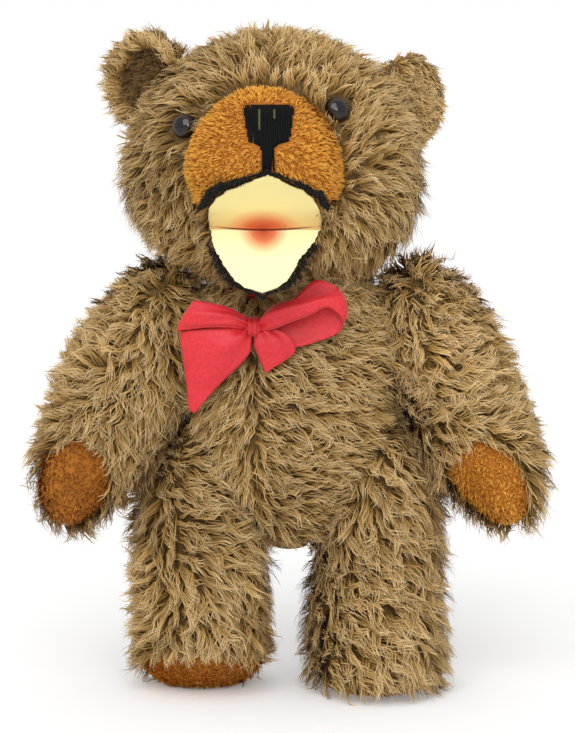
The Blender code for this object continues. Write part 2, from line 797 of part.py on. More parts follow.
headFrame = Matrix.Translation(neckPoint) @ Matrix.Rotation(HEAD_TURN, 4, "Z")
neckJoint = jointEmpty("neck_joint", headFrame)
for obj, name, mat in (
    (head, "head", longPile),
    (muzzle, "muzzle", goldPile),
    (lining, "mouth_lining", creamVelour),
    (upperLip, "upper_lip", blackYarn),
    (lowerLip, "lower_lip", blackYarn),
    (nose, "nose", blackYarn),
    (eyes[1], "eye_left", eyeGlass),
    (eyes[-1], "eye_right", eyeGlass),
    (ears[1], "ear_left", longPile),
    (ears[-1], "ear_right", longPile),
):
    finished(placed(obj, headFrame), name, mat, neckJoint)
jointHardware("neck", NECK_DISC_RADIUS, headFrame, neckJoint)

# Arms with their paw pads
for s, spread, fullness, padShift in ((1, 1.00, 1.02, -0.009), (-1, 1.03, 1.00, -0.001)):
    smooth, spine = buildArm(s, spread, fullness)
    joint = jointEmpty("shoulder_" + sideName[s] + "_joint", axisFrame(shoulderPoint[s], shoulderAxis[s]))
    arm = copied(smooth, "arm")
    cutFlat(arm, shoulderPoint[s] + shoulderAxis[s] * GAP / 2, -shoulderAxis[s])
    down = spine[-1] - spine[-3]
    direction = Vector((down.x, down.z)).normalized()
    middle = (spine[-2].x + padShift, spine[-2].z - 0.001)
    back = spine[-2].y + 0.002
    region = prism("pad", ovalOutline(middle, 0.031, 0.0225, direction, 20), -0.12, back)
    roomy = prism("room", ovalOutline(middle, 0.031 + GAP, 0.0225 + GAP, direction, 20), -0.12, back + GAP)
    pad = sewnPad("pad", arm, smooth, region, roomy)
    room = jointRoom(SHOULDER_DISC_RADIUS, joint.matrix_world)
    minus(arm, room)
    discard(room, smooth)
    finished(arm, "arm_" + sideName[s], longPile, joint)
    finished(pad, "paw_pad_" + sideName[s], goldPile, joint)
    jointHardware("shoulder_" + sideName[s], SHOULDER_DISC_RADIUS, joint.matrix_world, joint)

# Legs with their foot pads: the right toe is lifted
for s, toeLift, padFront in ((1, False, 0.010), (-1, True, 0.034)):
    smooth = buildLeg(s, toeLift)
    joint = jointEmpty("hip_" + sideName[s] + "_joint", axisFrame(hipPoint[s], hipAxis[s]))
    leg = copied(smooth, "leg")
    cutFlat(leg, Vector((0, 0, 0)), -Z)
    cutFlat(leg, hipPoint[s] + hipAxis[s] * GAP / 2, -hipAxis[s])
    front = -0.066
    heel = 0.036
    slope = math.atan2(padFront - 0.006, heel - front)
    tilt = Matrix.Translation((0, heel, 0.006)) @ Matrix.Rotation(-slope, 4, "X")
    region = placed(boxed("pad", Vector((-0.12, -0.13, -0.06)), Vector((0.12, 0.03, 0))), tilt)
    roomy = placed(boxed("room", Vector((-0.12, -0.13, -0.06)), Vector((0.12, 0.03, GAP))), tilt)
    pad = sewnPad("pad", leg, smooth, region, roomy, 0)
    room = jointRoom(HIP_DISC_RADIUS, joint.matrix_world)
    minus(leg, room)
    discard(room, smooth)
    finished(leg, "leg_" + sideName[s], longPile, joint)
    finished(pad, "foot_pad_" + sideName[s], goldPile, joint)
    jointHardware("hip_" + sideName[s], HIP_DISC_RADIUS, joint.matrix_world, joint)

# The origin lies on the floor under the middle of the bear
bpy.context.view_layer.update()
corners = [o.matrix_world @ v.co for o in bear.objects if o.type == "MESH" for v in o.data.vertices]
middleX = (min(c.x for c in corners) + max(c.x for c in corners)) / 2
middleY = (min(c.y for c in corners) + max(c.y for c in corners)) / 2
floor = min(c.z for c in corners)
shift = Vector((-middleX, -middleY, -floor))
for obj in bear.objects:
    if obj.parent is None:
        obj.location += shift
for obj in list(bench.objects):
    bpy.data.objects.remove(obj)
bpy.data.collections.remove(bench)
bpy.context.view_layer.update()
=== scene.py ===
import json
import math

import bmesh
import bpy
import numpy as np
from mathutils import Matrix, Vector
from mathutils.bvhtree import BVHTree
from mathutils.kdtree import KDTree


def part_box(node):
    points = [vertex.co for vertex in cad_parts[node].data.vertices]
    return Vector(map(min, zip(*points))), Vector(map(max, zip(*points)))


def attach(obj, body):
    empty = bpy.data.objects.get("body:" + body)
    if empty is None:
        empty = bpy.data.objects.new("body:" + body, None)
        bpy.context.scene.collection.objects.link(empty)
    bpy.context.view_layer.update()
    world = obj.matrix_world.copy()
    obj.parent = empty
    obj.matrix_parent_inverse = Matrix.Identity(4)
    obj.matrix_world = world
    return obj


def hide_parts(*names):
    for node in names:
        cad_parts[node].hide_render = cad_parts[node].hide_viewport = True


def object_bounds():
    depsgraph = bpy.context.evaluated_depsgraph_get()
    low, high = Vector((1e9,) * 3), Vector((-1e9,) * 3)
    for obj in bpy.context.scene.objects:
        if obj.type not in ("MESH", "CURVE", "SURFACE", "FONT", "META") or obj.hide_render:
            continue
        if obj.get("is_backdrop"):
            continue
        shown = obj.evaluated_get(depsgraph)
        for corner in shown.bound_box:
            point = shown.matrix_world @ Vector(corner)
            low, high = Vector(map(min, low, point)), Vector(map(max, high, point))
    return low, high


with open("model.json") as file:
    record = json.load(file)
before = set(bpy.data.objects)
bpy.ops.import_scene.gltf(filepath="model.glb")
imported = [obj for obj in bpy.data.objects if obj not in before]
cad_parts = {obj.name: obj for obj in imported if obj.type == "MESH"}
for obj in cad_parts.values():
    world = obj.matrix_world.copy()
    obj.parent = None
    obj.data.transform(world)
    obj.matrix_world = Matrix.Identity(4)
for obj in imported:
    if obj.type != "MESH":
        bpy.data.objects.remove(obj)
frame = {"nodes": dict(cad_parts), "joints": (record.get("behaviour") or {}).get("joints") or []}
nodes = frame["nodes"]
cadBox = [list(corner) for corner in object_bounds()]
scene = bpy.context.scene
scene.view_settings.view_transform = "Standard"
neckAt = np.array(next(j["pos_m"] for j in frame["joints"] if j["name"] == "neck_turn"))
shift = np.array((neckAt[0], neckAt[1], 0))
cameraSpec = {
    "distance": 1.5, "rise": 4.7, "lens": 118, "look": (0.0, 0.0, 0.2055), "focal": 2402.6,
    "middle": (287.5, 366.5),
}
print("frame loaded")


# A colour as read from the photo, 0 to 255, in Blender's linear values
def lin(r, g, b):
    return tuple(((c / 255 + 0.055) / 1.055) ** 2.4 if c > 10 else c / 255 / 12.92 for c in (r, g, b))


# Values of a node's sockets, by their names
def setInputs(node, values):
    for socket, value in values.items():
        node.inputs[socket].default_value = value


def newMaterial(name, values):
    mat = bpy.data.materials.new(name)
    mat.use_nodes = True
    shader = mat.node_tree.nodes["Principled BSDF"]
    setInputs(shader, values)
    return mat, mat.node_tree, shader


# Where points appear from the front, in steps of the picture, and how far off they are
def seenAt(points):
    rise = math.radians(cameraSpec["rise"])
    back = np.array((0, -math.cos(rise), math.sin(rise)))
    rel = points - np.array(cameraSpec["look"]) - back * cameraSpec["distance"]
    depth = -rel @ back
    up = rel @ np.array((0, math.sin(rise), math.cos(rise)))
    across = cameraSpec["middle"][0] + cameraSpec["focal"] * rel[:, 0] / depth
    return across, cameraSpec["middle"][1] - cameraSpec["focal"] * up / depth, depth


def addNode(tree, kind, **settings):
    node = tree.nodes.new(kind)
    for key, value in settings.items():
        setattr(node, key, value)
    return node


def addRamp(tree, factor, stops):
    ramp = tree.nodes.new("ShaderNodeValToRGB")
    elements = ramp.color_ramp.elements
    while len(elements) < len(stops):
        elements.new(0.5)
    for element, (place, colour) in zip(elements, stops):
        element.position = place
        element.color = (*colour, 1)
    tree.links.new(factor, ramp.inputs["Fac"])
    return ramp.outputs["Color"]


def addMix(tree, blend, factor, first, second):
    mix = tree.nodes.new("ShaderNodeMix")
    mix.data_type = "RGBA"
    mix.blend_type = blend
    for socket, value in ((mix.inputs[0], factor), (mix.inputs[6], first), (mix.inputs[7], second)):
        if isinstance(value, (int, float)):
            socket.default_value = value
        elif isinstance(value, tuple):
            socket.default_value = (*value, 1)
        else:
            tree.links.new(value, socket)
    return mix.outputs[2]


def addMath(tree, operation, first, second=0.0, third=0.0):
    node = addNode(tree, "ShaderNodeMath", operation=operation)
    for socket, value in zip(node.inputs, (first, second, third)):
        if isinstance(value, (int, float)):
            socket.default_value = value
        else:
            tree.links.new(value, socket)
    return node.outputs[0]


def addBump(tree, shader, height, strength, distance):
    bump = tree.nodes.new("ShaderNodeBump")
    setInputs(bump, {"Strength": strength, "Distance": distance})
    tree.links.new(height, bump.inputs["Height"])
    tree.links.new(bump.outputs["Normal"], shader.inputs["Normal"])


def addNoise(tree, scale, detail, rough=0.5):
    spot = tree.nodes.new("ShaderNodeTexCoord")
    grain = tree.nodes.new("ShaderNodeTexNoise")
    setInputs(grain, {"Scale": scale, "Detail": detail, "Roughness": rough})
    tree.links.new(spot.outputs["Object"], grain.inputs["Vector"])
    return grain.outputs["Fac"]


def uvAxis(tree, layer, axis):
    uv = addNode(tree, "ShaderNodeUVMap", uv_map=layer)
    split = tree.nodes.new("ShaderNodeSeparateXYZ")
    tree.links.new(uv.outputs["UV"], split.inputs[0])
    return split.outputs[axis]


# Hair colour runs from root to tip and differs from hair to hair
def hairMaterial(name, stops, dark, light, roughness, sheen):
    values = {"Roughness": roughness, "Sheen Weight": sheen, "Sheen Roughness": 0.4, "Specular IOR Level": 0.18}
    mat, tree, shader = newMaterial(name, values)
    alongColour = addRamp(tree, uvAxis(tree, "strand", "Y"), stops)
    toneColour = addRamp(tree, uvAxis(tree, "tone", "X"), ((0, dark), (0.5, (1, 1, 1)), (1, light)))
    colour = addMix(tree, "MULTIPLY", 1.0, alongColour, toneColour)
    across = addMath(tree, "MULTIPLY_ADD", uvAxis(tree, "strand", "X"), 3.0 * 2 * math.pi, 1.0)
    across = addMath(tree, "ADD", across, addMath(tree, "MULTIPLY", uvAxis(tree, "tone", "X"), 9.0))
    wave = addMath(tree, "MULTIPLY_ADD", addMath(tree, "SINE", across), 0.5, 0.5)
    stripes = addRamp(tree, wave, ((0, (0.72,) * 3), (1, (1.12,) * 3)))
    colour = addMix(tree, "MULTIPLY", 1.0, colour, stripes)
    tree.links.new(colour, shader.inputs["Base Color"])
    return mat


def clothMaterial(name, first, second, scale, strength, roughness=0.95):
    mat, tree, shader = newMaterial(name, {"Roughness": roughness})
    grain = addNoise(tree, scale, 6, 0.7)
    tree.links.new(addRamp(tree, grain, ((0.3, first), (0.7, second))), shader.inputs["Base Color"])
    addBump(tree, shader, grain, strength, 0.002)
    return mat


pileMat = hairMaterial(
    "long_hair",
    ((0, lin(102, 74, 28)), (0.3, lin(148, 113, 58)), (0.62, lin(190, 154, 94)), (1, lin(244, 216, 166))),
    (0.62, 0.58, 0.50), (1.25, 1.23, 1.16), 0.55, 0.04,
)
# Dark hair for the hollow inside the open ear: painted shade
earHollowShadeMat = hairMaterial(
    "painted_shade_ear_hair",
    ((0, lin(44, 28, 8)), (0.4, lin(76, 52, 22)), (0.75, lin(112, 84, 44)), (1, lin(160, 130, 82))),
    (0.58, 0.54, 0.46), (1.2, 1.16, 1.1), 0.6, 0.1,
)
goldMat = hairMaterial(
    "short_gold_hair",
    ((0, lin(158, 88, 14)), (0.45, lin(218, 142, 40)), (1, lin(250, 194, 92))),
    (0.74, 0.64, 0.48), (1.2, 1.18, 1.1), 0.65, 0.0,
)
# A lighter copy of the gold hair for the soles, which face down: painted light
paintedLightSoleMat = hairMaterial(
    "painted_light_sole_hair",
    ((0, lin(200, 122, 30)), (0.45, lin(250, 186, 70)), (1, lin(255, 226, 124))),
    (0.76, 0.68, 0.54), (1.15, 1.14, 1.08), 0.65, 0.0,
)
# A darker copy of the gold hair for the paw that faces down: painted shade
paintedShadePawMat = hairMaterial(
    "painted_shade_paw_hair",
    ((0, lin(112, 58, 10)), (0.45, lin(168, 96, 28)), (1, lin(214, 146, 60))),
    (0.62, 0.54, 0.42), (1.35, 1.32, 1.2), 0.65, 0.0,
)
chinMat = hairMaterial(
    "short_brown_hair",
    ((0, lin(48, 32, 12)), (0.5, lin(104, 76, 44)), (1, lin(164, 132, 88))),
    (0.66, 0.62, 0.56), (1.15, 1.12, 1.08), 0.65, 0.1,
)
fuzzMat = hairMaterial(
    "black_fuzz",
    ((0, lin(6, 6, 6)), (1, lin(34, 34, 28))),
    (0.7, 0.7, 0.7), (1.3, 1.3, 1.3), 0.7, 0.1,
)
brownCloth = clothMaterial("brown_backing", lin(84, 62, 28), lin(128, 100, 58), 900, 0.6)
goldCloth = clothMaterial("gold_backing", lin(156, 88, 16), lin(200, 126, 36), 1200, 0.5)
blackCloth = clothMaterial("black_felt", lin(8, 8, 8), lin(26, 26, 22), 1500, 0.6)


def selectOnly(obj):
    bpy.ops.object.select_all(action="DESELECT")
    obj.select_set(True)
    bpy.context.view_layer.objects.active = obj


def applyAll(obj):
    selectOnly(obj)
    for mod in list(obj.modifiers):
        bpy.ops.object.modifier_apply(modifier=mod.name)


def shadeSmooth(obj):
    selectOnly(obj)
    bpy.ops.object.shade_smooth()


def linked(name, mesh):
    obj = bpy.data.objects.new(name, mesh)
    scene.collection.objects.link(obj)
    return obj


# A copy of one CAD piece, its corners merged, ready to be worked on
def copyOf(nodeName, name, levels=1):
    mesh = nodes[nodeName].data.copy()
    mesh.name = name
    obj = linked(name, mesh)
    bm = bmesh.new()
    bm.from_mesh(mesh)
    bmesh.ops.remove_doubles(bm, verts=bm.verts, dist=0.00002)
    bm.to_mesh(mesh)
    bm.free()
    mesh.materials.clear()
    if mesh.has_custom_normals:
        selectOnly(obj)
        bpy.ops.mesh.customdata_custom_splitnormals_clear()
    if levels:
        mod = obj.modifiers.new("soft", "SUBSURF")
        mod.levels = levels
        mod.render_levels = levels
        applyAll(obj)
    shadeSmooth(obj)
    return obj


def meshArrays(obj):
    mesh = obj.data
    mesh.calc_loop_triangles()
    co = np.empty(len(mesh.vertices) * 3)
    mesh.vertices.foreach_get("co", co)
    tri = np.empty(len(mesh.loop_triangles) * 3, np.int64)
    mesh.loop_triangles.foreach_get("vertices", tri)
    normal = np.array([v.vector for v in mesh.vertex_normals])
    return co.reshape(-1, 3), tri.reshape(-1, 3), normal


def treeOf(*objs):
    points = []
    faces = []
    for obj in objs:
        co, tri, _ = meshArrays(obj)
        faces.extend((tri + len(points)).tolist())
        points.extend(co.tolist())
    return BVHTree.FromPolygons(points, faces)


def nodeTree(*names):
    return treeOf(*[nodes[name] for name in names])


def unit(v):
    return v / np.maximum(np.linalg.norm(v, axis=-1, keepdims=True), 1e-9)


def boxOf(nodeName):
    low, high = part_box(nodeName)
    return np.array(low), np.array(high)


def centreOf(nodeName):
    low, high = boxOf(nodeName)
    return (low + high) / 2


# Slow swirls over the body, from a few long waves
def swirl(points, size, seed):
    rng = np.random.default_rng(seed)
    total = np.zeros(len(points))
    for _ in range(7):
        wave = rng.normal(size=3) / size
        total += np.sin(points @ wave + rng.uniform(0, 2 * math.pi))
    return total / 2.2


# Faces that stay clear of hair, with the room in which a hair can hover over them
def clearFace(obj, inward=(0, 1, 0)):
    co, _, _ = meshArrays(obj)
    return treeOf(obj), co.min(0), co.max(0), Vector(inward).normalized()


# How far along each hair comes to hover over one of those faces
def clearShare(hairs, faces, reach):
    share = np.ones(len(hairs))
    last = hairs.shape[1] - 1
    for tree, low, high, inward in faces:
        near = ((hairs > low - reach) & (hairs < high + reach)).all(2).any(1)
        for k in np.nonzero(near)[0]:
            for step in range(last + 1):
                if tree.ray_cast(Vector(hairs[k, step]) - inward * 0.002, inward, reach)[0] is not None:
                    share[k] = min(share[k], step / last)
                    break
    return share


def scatterRoots(cloth, count, rng, keep):
    co, tri, vertexNormals = meshArrays(cloth)
    a, b, c = (co[tri[:, k]] for k in range(3))
    area = np.linalg.norm(np.cross(b - a, c - a), axis=1) / 2
    if keep is not None:
        corners = keep(co, vertexNormals)
        middles = keep((a + b + c) / 3, unit(vertexNormals[tri].sum(1)))
        area = area * (corners[tri].any(1) | middles)
    pick = rng.choice(len(tri), count, p=area / area.sum())
    u, v = rng.random((2, count))
    over = u + v > 1
    u[over], v[over] = 1 - u[over], 1 - v[over]
    w = 1 - u - v
    root = a[pick] * w[:, None] + b[pick] * u[:, None] + c[pick] * v[:, None]
    na, nb, nc = (vertexNormals[tri[pick, k]] for k in range(3))
    return root, unit(na * w[:, None] + nb * u[:, None] + nc * v[:, None])


# The room over each root: none in a hollow of the same piece, less beside another piece
def roomOver(root, normal, own, blockers, full):
    room = np.ones(len(root))
    for k in range(len(root)):
        p, n = Vector(root[k]), Vector(normal[k])
        if own.ray_cast(p + n * 0.0006, n, 0.03)[0] is not None:
            room[k] = 0
            continue
        for tree in blockers:
            hit = tree.ray_cast(p + n * 0.0002, n, full * 0.8)
            if hit[0] is not None:
                room[k] = min(room[k], max(0.0, (hit[3] - 0.0006) / (full * 0.55)))
    return room


# One wavy path for each lock, leaving the cloth along its normal and lying down along the flow
def lockPaths(heart, normal, flow, spec, rng):
    count = len(heart)
    steps = spec["steps"]
    t = np.linspace(0, 1, steps)
    flow = unit(flow - normal * (flow * normal).sum(1, keepdims=True))
    turn = spec["swirl"] * swirl(heart, spec["swirlSize"], spec["seed"] + 1) + rng.normal(0, spec["stray"], count)
    side = np.cross(normal, flow)
    flow = flow * np.cos(turn)[:, None] + side * np.sin(turn)[:, None]
    side = np.cross(normal, flow)
    rise, lie = math.radians(spec["liftRoot"]), math.radians(spec["liftTip"])
    tilt = (rise + (lie - rise) * t ** 0.8)[None, :] + rng.normal(0, 0.16, count)[:, None]
    ahead = normal[:, None] * np.sin(tilt)[..., None] + flow[:, None] * np.cos(tilt)[..., None]
    ahead[..., 2] -= spec["sag"] * t[None, :]
    ahead = unit(ahead)
    walked = np.cumsum((ahead[:, 1:] + ahead[:, :-1]) / 2, axis=1)
    path = np.concatenate([np.zeros((count, 1, 3)), walked], axis=1) * spec["length"] / (steps - 1)
    waves = rng.uniform(spec["waves"][0], spec["waves"][1], (count, 1))
    phase = rng.uniform(0, 2 * math.pi, (count, 1))
    reach = spec["curl"] * rng.uniform(0.4, 1.4, (count, 1)) * t ** 0.8
    across = reach * np.sin(waves * 2 * math.pi * t + phase)
    lift = 0.6 * reach * np.cos(waves * 2 * math.pi * t + phase * 1.7)
    path += side[:, None] * across[..., None] + normal[:, None] * lift[..., None]
    return path - path[:, :1]


# Flat tapered blades round the hairs' middle lines, as one mesh
def bladeMesh(name, points, normal, tone, spec, rng):
    count, steps, _ = points.shape
    t = np.linspace(0, 1, steps)
    tangent = unit(np.gradient(points, axis=1))
    wide = unit(np.cross(tangent, normal[:, None] + 0 * tangent))
    roll = rng.uniform(-spec["roll"], spec["roll"], count)[:, None, None]
    wide = wide * np.cos(roll) + np.cross(tangent, wide) * np.sin(roll)
    wide *= np.where((np.cross(wide, tangent) * normal[:, None]).sum((1, 2)) < 0, -1, 1)[:, None, None]
    half = spec["width"] / 2 * rng.uniform(0.65, 1.3, count)[:, None] * np.clip(1 - t ** 1.8, 0.10, 1)[None, :]
    pair = np.stack([points - wide * half[..., None], points + wide * half[..., None]], axis=2)
    verts = np.concatenate([pair[:, :-1].reshape(count, -1, 3), points[:, -1:]], axis=1)
    verts[..., 2] = np.maximum(verts[..., 2], 0.0003)
    perHair = 2 * (steps - 1) + 1
    quads = [(2 * k, 2 * k + 1, 2 * k + 3, 2 * k + 2) for k in range(steps - 2)]
    shape = np.array([corner for quad in quads for corner in quad] + [2 * steps - 4, 2 * steps - 3, 2 * steps - 2])
    start = (np.arange(count) * perHair)[:, None]
    loops = start + shape[None]
    sizes = np.tile([4] * (steps - 2) + [3], count)
    mesh = bpy.data.meshes.new(name)
    mesh.vertices.add(count * perHair)
    mesh.vertices.foreach_set("co", verts.reshape(-1))
    mesh.loops.add(loops.size)
    mesh.loops.foreach_set("vertex_index", loops.reshape(-1))
    mesh.polygons.add(len(sizes))
    mesh.polygons.foreach_set("loop_start", np.concatenate([[0], np.cumsum(sizes)[:-1]]))
    mesh.polygons.foreach_set("loop_total", sizes)
    mesh.polygons.foreach_set("use_smooth", np.ones(len(sizes), bool))
    along = np.append(np.repeat(t[:-1], 2), 1.0)
    across = np.append(np.tile([0.0, 1.0], steps - 1), 0.5)
    strandUv = np.tile(np.stack([across[shape], along[shape]], axis=-1), (count, 1, 1))
    toneUv = np.repeat(np.stack([tone, tone], axis=-1)[:, None], len(shape), axis=1)
    for layer, values in (("strand", strandUv), ("tone", toneUv)):
        mesh.uv_layers.new(name=layer).uv.foreach_set("vector", values.reshape(-1))
    mesh.update()
    mesh.validate()
    soft = unit(normal[:, None] * 1.0 + np.cross(wide, tangent) * 1.0)
    vertexSoft = np.concatenate([np.repeat(soft[:, :-1], 2, axis=1), soft[:, -1:]], axis=1)
    mesh.normals_split_custom_set_from_vertices(vertexSoft.reshape(-1, 3).tolist())
    return mesh


# Hair over one piece of cloth, gathered in locks that lie along the flow
def growPile(name, cloth, mat, body, spec, flowAt, keep=None, blockers=(), clear=()):
    rng = np.random.default_rng(spec["seed"])
    root, normal = scatterRoots(cloth, int(spec["hairs"] * 2.6), rng, keep)
    if keep is not None:
        kept = keep(root, normal)
        root, normal = root[kept], normal[kept]
    root, normal = root[: int(spec["hairs"] * 1.5)], normal[: int(spec["hairs"] * 1.5)]
    room = roomOver(root, normal, treeOf(cloth), blockers, spec["length"])
    free = np.nonzero(room > 0.06)[0][: spec["hairs"]]
    root, normal, room = root[free], normal[free], room[free]
    count = len(root)
    lockCount = max(1, count // spec["perLock"])
    hearts = KDTree(lockCount)
    for k in range(lockCount):
        hearts.insert(root[k], k)
    hearts.balance()
    lock = np.array([hearts.find(p)[1] for p in root])
    heart = root[:lockCount]
    path = lockPaths(heart, normal[:lockCount], flowAt(heart, normal[:lockCount]), spec, rng)
    steps = spec["steps"]
    t = np.linspace(0, 1, steps)
    size = rng.uniform(0.7, 1.12, count) * (0.25 + 0.75 * room) * rng.uniform(0.8, 1.15, lockCount)[lock]
    size *= 1 + 0.12 * swirl(root, 0.02, spec["seed"] + 2)
    points = root[:, None] + path[lock] * size[:, None, None]
    points -= (root - heart[lock])[:, None] * (spec["gather"] * t ** 1.1)[None, :, None]
    points += rng.normal(0, spec["frizz"], (count, 1, 3)) * (t ** 1.4)[None, :, None]
    wiggle = rng.normal(0, spec["frizz"] * 0.5, (count, steps, 3))
    wiggle[:, 0] = 0
    points += wiggle
    if clear:
        share = clearShare(points, clear, spec["clearReach"])
        points = root[:, None] + (points - root[:, None]) * np.minimum(1, share + 0.1)[:, None, None]
        stays = share > 0.15
        points, root, normal, lock = points[stays], root[stays], normal[stays], lock[stays]
        count = len(root)
    # no hair sinks into its own cloth or the floor
    height = ((points - root[:, None]) * normal[:, None]).sum(2)
    points -= normal[:, None] * np.minimum(height - 0.0008 * np.sign(t)[None, :], 0)[..., None]
    points[..., 2] = np.maximum(points[..., 2], 0.0004)
    tone = 0.5 + 0.5 * (rng.random(lockCount)[lock] - 0.5) + 0.5 * (rng.random(count) - 0.5)
    tone = np.clip(tone + 0.12 * swirl(root, 0.03, spec["seed"] + 5), 0, 1)
    mesh = bladeMesh(name, points, normal, tone, spec, rng)
    mesh.materials.append(mat)
    obj = linked(name, mesh)
    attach(obj, body)
    print(name, "hairs", count, "locks", lockCount, "triangles", count * (2 * steps - 3))
    return obj


def stuffed(nodeName, name, body, mat, levels=1):
    cloth = copyOf(nodeName, name, levels)
    cloth.data.materials.append(mat)
    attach(cloth, body)
    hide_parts(nodeName)
    return cloth


# One flow for every root of a piece
def sameWay(*direction):
    def flow(p, n):
        return np.tile(np.array(direction, float), (len(p), 1))
    return flow


def setPoints(obj, co):
    obj.data.vertices.foreach_set("co", co.reshape(-1))
    obj.data.update()


longHair = {
    "seed": 11, "hairs": 12000, "length": 0.0185, "perLock": 7, "steps": 5, "swirl": 0.6, "swirlSize": 0.03,
    "stray": 0.34, "liftRoot": 60, "liftTip": 4, "sag": 0.22, "waves": (0.8, 1.6), "curl": 0.0022, "gather": 0.42,
    "frizz": 0.0009, "roll": 0.4, "width": 0.00106, "clearReach": 0.02,
}
shortHair = dict(
    longHair, length=0.0040, perLock=5, steps=4, swirl=0.5, swirlSize=0.012, stray=0.3, liftRoot=74, liftTip=36,
    sag=0.1, curl=0.0004, gather=0.4, frizz=0.0003, width=0.0008, waves=(0.3, 0.8),
)

bodySolids = {
    "trunk": ["torso"],
    "head": ["head", "muzzle", "ear_left", "ear_right"],
    "arm_left": ["arm_left", "paw_pad_left"],
    "arm_right": ["arm_right", "paw_pad_right"],
    "leg_left": ["leg_left", "foot_pad_left"],
    "leg_right": ["leg_right", "foot_pad_right"],
}
solidTrees = {body: nodeTree(*names) for body, names in bodySolids.items()}
headTree = nodeTree("head")


def others(body):
    return [tree for name, tree in solidTrees.items() if name != body]


def farFrom(tree, distance):
    def check(points):
        return np.array([tree.find_nearest(Vector(p), distance)[0] is None for p in points], bool)
    return check


def narrowed(keep, check, points):
    rest = np.nonzero(keep)[0]
    keep[rest] = check(points[rest])
    return keep


# Head
headSpec = dict(longHair, seed=21, hairs=22500, length=0.0170, swirlSize=0.03, curl=0.0018, liftRoot=56)
chinSpec = dict(shortHair, seed=25, hairs=2600, length=0.0065, width=0.0009)
earSpec = dict(longHair, seed=31, hairs=2700, length=0.0125, swirlSize=0.02, liftRoot=55, curl=0.0014)
earLength = {"right": 0.0125, "left": 0.0075}
muzzleLow, muzzleHigh = boxOf("muzzle")
muzzleCentre = np.array(((muzzleLow[0] + muzzleHigh[0]) / 2, muzzleLow[1] + 0.046, muzzleHigh[2] - 0.052))
jawLow, jawHigh = boxOf("lower_lip")
eyeCentres = [centreOf("eye_left"), centreOf("eye_right")]


def headFlow(p, n):
    away = (p - muzzleCentre) * np.array((1, 0.4, 1))
    back = np.clip((p[:, 1] - muzzleCentre[1]) / 0.08, 0, 1)[:, None]
    return unit(away) * (1.2 - back) + np.array((0, 0.15, -1.0)) * (0.25 + back) + np.array((0, 0.35, 0))


def isJaw(p):
    middle = (jawLow[0] + jawHigh[0]) / 2
    return (np.abs(p[:, 0] - middle) < 0.034) & (p[:, 2] < jawHigh[2] - 0.001) & (p[:, 1] < jawHigh[1] - 0.004)


def headKeep(p, n):
    keep = ~isJaw(p) & (p[:, 2] > neckAt[2] + 0.001)
    for centre in eyeCentres:
        keep &= np.linalg.norm(p - centre, axis=1) > 0.0094
    keep = narrowed(keep, farFrom(mouthTree, 0.0022), p)
    return narrowed(keep, farFrom(muzzleTree, 0.0012), p)


def chinKeep(p, n):
    return narrowed(isJaw(p) & (n[:, 2] < 0.35), farFrom(liningTree, 0.0024), p)


headCloth = stuffed("head", "head_cloth", "head", brownCloth)
muzzle = stuffed("muzzle", "muzzle_cloth", "head", goldCloth)
lining = stuffed("mouth_lining", "lining_velour", "head", goldCloth, 2)
lips = {}
for name in ("upper_lip", "lower_lip"):
    lips[name] = stuffed(name, name + "_felt", "head", blackCloth)
# Heights of the mouth in the picture, each with its left and right side
mouthSpec = {
    "sides": (
        (172, 266, 268), (176, 261, 275), (183, 242, 289), (190, 227, 304), (198, 215, 314), (208, 208.5, 319),
        (220, 208, 322), (230, 210, 321), (242, 212, 315), (251, 215, 308), (260, 220, 300), (270, 226, 295),
        (281, 234, 288), (288, 243, 279), (293, 257, 268),
    ),
    "fade": 34, "passes": 2, "corner": 210, "middle": 267, "upperRows": 7, "thin": 0.62, "thinHalf": 40, "thinFade": 16,
}


# Gives the mouth its outline: each height's sides move out or in, and what lies beside them follows
def fitMouth(obj, sides):
    co, _, _ = meshArrays(obj)
    across, high, depth = seenAt(co)
    rows, left, right = sides
    want = np.array(mouthSpec["sides"])
    wantLeft, wantRight = np.interp(high, want[:, 0], want[:, 1]), np.interp(high, want[:, 0], want[:, 2])
    isLeft, isRight = np.interp(high, rows, left), np.interp(high, rows, right)
    share = np.clip((across - isLeft) / np.maximum(isRight - isLeft, 1), 0, 1)
    move = (wantLeft - isLeft) * (1 - share) + (wantRight - isRight) * share
    beside = np.maximum(isLeft - across, 0) + np.maximum(across - isRight, 0)
    over = np.maximum(rows[0] - high, 0) + np.maximum(high - rows[-1], 0)
    isFront = np.clip((-0.035 - co[:, 1]) / 0.012, 0, 1)
    move *= np.clip(1 - np.hypot(beside, over) / mouthSpec["fade"], 0, 1) * isFront
    co[:, 0] += move * depth / cameraSpec["focal"]
    setPoints(obj, co)


def mouthOutline(obj):
    across, high, _ = seenAt(meshArrays(obj)[0])
    rows = np.arange(high.min() + 1.5, high.max() - 0.5, 2.0)
    near = []
    for row in rows:
        off = np.abs(high - row)
        near.append(across[np.argsort(off)[: max(12, int((off < 1.8).sum()))]])
    return rows, np.array([part.min() for part in near]), np.array([part.max() for part in near])


for _ in range(mouthSpec["passes"]):
    sides = mouthOutline(lining)
    for obj in (headCloth, muzzle, lining, *lips.values()):
        fitMouth(obj, sides)


# The upper edge is thin at its middle and thickens to the corners
def thinLip(obj):
    co, _, _ = meshArrays(obj)
    across, high, depth = seenAt(co)
    rows, left, right = np.array(mouthSpec["sides"])[: mouthSpec["upperRows"]].T
    off = across - mouthSpec["middle"]
    edge = np.where(off < 0, np.interp(across, left[::-1], rows[::-1]), np.interp(across, right, rows))
    share = np.clip((np.abs(off) - mouthSpec["thinHalf"]) / mouthSpec["thinFade"], 0, 1)
    raised = np.maximum(edge - 1 - high, 0)
    co[:, 2] -= raised * (1 - share) * mouthSpec["thin"] * depth / cameraSpec["focal"]
    setPoints(obj, co)


thinLip(lips["upper_lip"])


